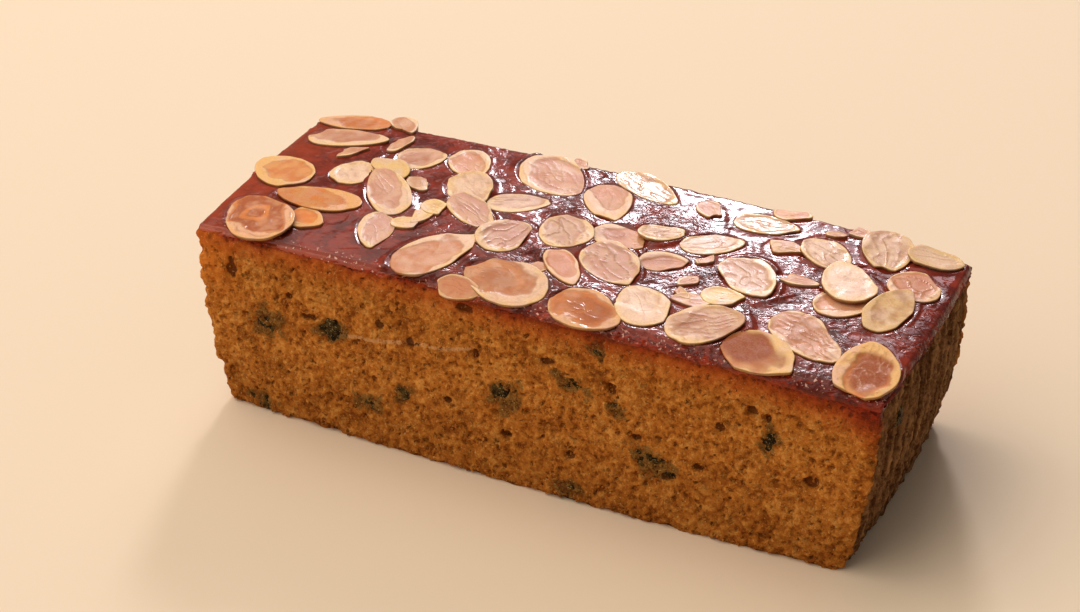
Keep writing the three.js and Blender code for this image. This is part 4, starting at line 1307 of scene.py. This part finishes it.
def make_fruit():
    for number, name in enumerate(FRUIT_NODES, start=1):
        piece = merged_copy(f"fruit_lump_{number:02d}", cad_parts[name], fruit_material)
        subdivide = piece.modifiers.new("smooth", "SUBSURF")
        subdivide.levels = subdivide.render_levels = 3
        keep_modified(piece)
        points = points_of(piece)
        middle = points.mean(axis=0)
        outward = points - middle
        outward /= np.linalg.norm(outward, axis=1)[:, None]
        crinkle = noise_at(points, 2.2, number) * 0.9 + noise_at(points, 0.8, number) * 0.4
        points = points + outward * (crinkle + FRUIT_SWELL)[:, None]
        into_side = -np.sign(middle) * (np.abs(middle) * [1 / LENGTH, 1 / WIDTH, 0] > IN_SIDE)
        points = points + into_side * FRUIT_SINK
        points[:, 2] = np.maximum(points[:, 2], 0.0)
        move_points(piece, points)
        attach(piece, "root")
        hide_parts(name)


make_fruit()
print("fruit:", len(FRUIT_NODES), "lumps")

# %% [markdown]
# ## Loose crumbs
# A cut cake sheds crumbs. They cling along the lower edge and here and there on the sides. Geometry
# Nodes puts a small rough lump on each of the scattered points, with its own size and turn.


# %% Crumbs
def crumb_scatter():
    growth = Growth("crumb_scatter", {"Smallest": 0.14, "Largest": 0.5}, sponge_material)
    lump = growth.node("GeometryNodeMeshIcoSphere", {}, {"Radius": MM, "Subdivisions": 1})
    bumpy = growth.pushed(lump, (growth.noise(0.9) - 0.5) * MM)
    size = growth.node("FunctionNodeRandomValue", {"data_type": "FLOAT"}, {
        "Min_001": growth.given("Smallest"), "Max_001": growth.given("Largest"), "Seed": 3,
    }, out="Value_001")
    turn, shape = (
        growth.node("FunctionNodeRandomValue", {"data_type": "FLOAT_VECTOR"}, {
            "Min": (low,) * 3, "Max": (high,) * 3, "Seed": seed,
        }, out="Value")
        for low, high, seed in ((0, 6.28, 5), (0.4, 1.2, 7))
    )
    scattered = growth.node("GeometryNodeInstanceOnPoints", {}, {
        "Points": growth.geometry, "Instance": bumpy, "Rotation": turn,
        "Scale": growth.vectors("SCALE", shape, scale=size),
    })
    growth.finish(scattered)
    return growth


# %% Crumbs on the loaf
CRUMB_COUNT = 5200
CRUMB_LOWEST = 0.65


def make_crumbs():
    rng = np.random.default_rng(11)
    pool = points_of(sponge)
    x, _, z = pool.T
    side = (z > 0.3) & (z < CORNER_HEIGHT - 5)
    chance = np.where(side, 0.25 + 1.2 * fade(z, 0.5, 3), 0.0)
    chance = chance * fade(np.abs(x), LENGTH / 2 - 7, LENGTH / 2 - 4)
    chosen = rng.choice(len(pool), CRUMB_COUNT, replace=False, p=chance / chance.sum())
    points = pool[chosen]
    points[:, 2] = np.maximum(points[:, 2], CRUMB_LOWEST)
    kept = {name: values_of(sponge, name)[chosen] for name in ("stain", "moist", "amber", "soak")}
    crumbs = make_piece("loose_crumbs", points, [np.zeros((0, 3), dtype=int)], sponge_material, kept)
    crumb_scatter().apply(crumbs)
    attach(crumbs, "root")
    return crumbs


crumbs = make_crumbs()
print("crumbs:", len(crumbs.data.polygons), "faces")

# %% [markdown]
# ## Floor and light
# The loaf stands on a plain pale floor. A small bright window stands low behind it, a little to the
# left, with a pale wall round it. They make the top shine, and the shadow falls towards the camera. A
# broad skylight, high at the back left, and a broad softer light from the room in front fill the long
# side. A dim warm world lights the rest.

# %% Floor and light
FLOOR_COLOR = (0.86, 0.695, 0.505)
WORLD_COLOR = (1.0, 0.94, 0.88)
WORLD_STRENGTH = 0.19
FLOOR_REACH = 3000.0
# Each light: bearing, height angle, distance, size, watts and colour.
LIGHTS = {
    "window_behind": (-21, 31, 2.4, (0.3, 0.3), 16, (0.95, 0.93, 1.0)),
    "pale_wall_behind": (-14, 34, 3.0, (0.9, 0.8), 10, (1.0, 0.88, 0.94)),
    "skylight": (-60, 60, 2.6, (2.4, 2.4), 26, (1.0, 0.93, 0.85)),
    "room_in_front": (235, 50, 2.4, (3.4, 3.0), 46, (1.0, 0.90, 0.78)),
}


def make_floor():
    finish = Finish("pale_floor", FLOOR_COLOR)
    finish.set(Base_Color=(*finish.color, 1), Roughness=0.8)
    corners = np.array([(-1, -1, 0), (1, -1, 0), (1, 1, 0), (-1, 1, 0)]) * FLOOR_REACH
    floor = make_piece("floor", corners, [np.array([[0, 1, 2, 3]])], finish.material)


def make_light(name, bearing, height_angle, distance, size, watts, color):
    """An area light that looks at the loaf. Bearing 0 is straight behind, and grows to the right."""
    data = bpy.data.lights.new(name, "AREA")
    data.shape = "RECTANGLE"
    data.size, data.size_y = size
    data.energy = watts
    data.color = color
    light = bpy.data.objects.new(name, data)
    a, e = math.radians(bearing), math.radians(height_angle)
    towards = Vector((math.sin(a) * math.cos(e), math.cos(a) * math.cos(e), math.sin(e)))
    light.location = towards * distance
    light.rotation_mode = "QUATERNION"
    light.rotation_quaternion = towards.to_track_quat("Z", "Y")
    bpy.context.collection.objects.link(light)


def make_world():
    world = bpy.data.worlds.new("soft_room")
    world.use_nodes = True
    background = world.node_tree.nodes["Background"]
    background.inputs["Color"].default_value = (*WORLD_COLOR, 1)
    background.inputs["Strength"].default_value = WORLD_STRENGTH
    bpy.context.scene.world = world


make_floor()
make_world()
for name, settings in LIGHTS.items():
    make_light(name, *settings)
print("lights:", len(LIGHTS))
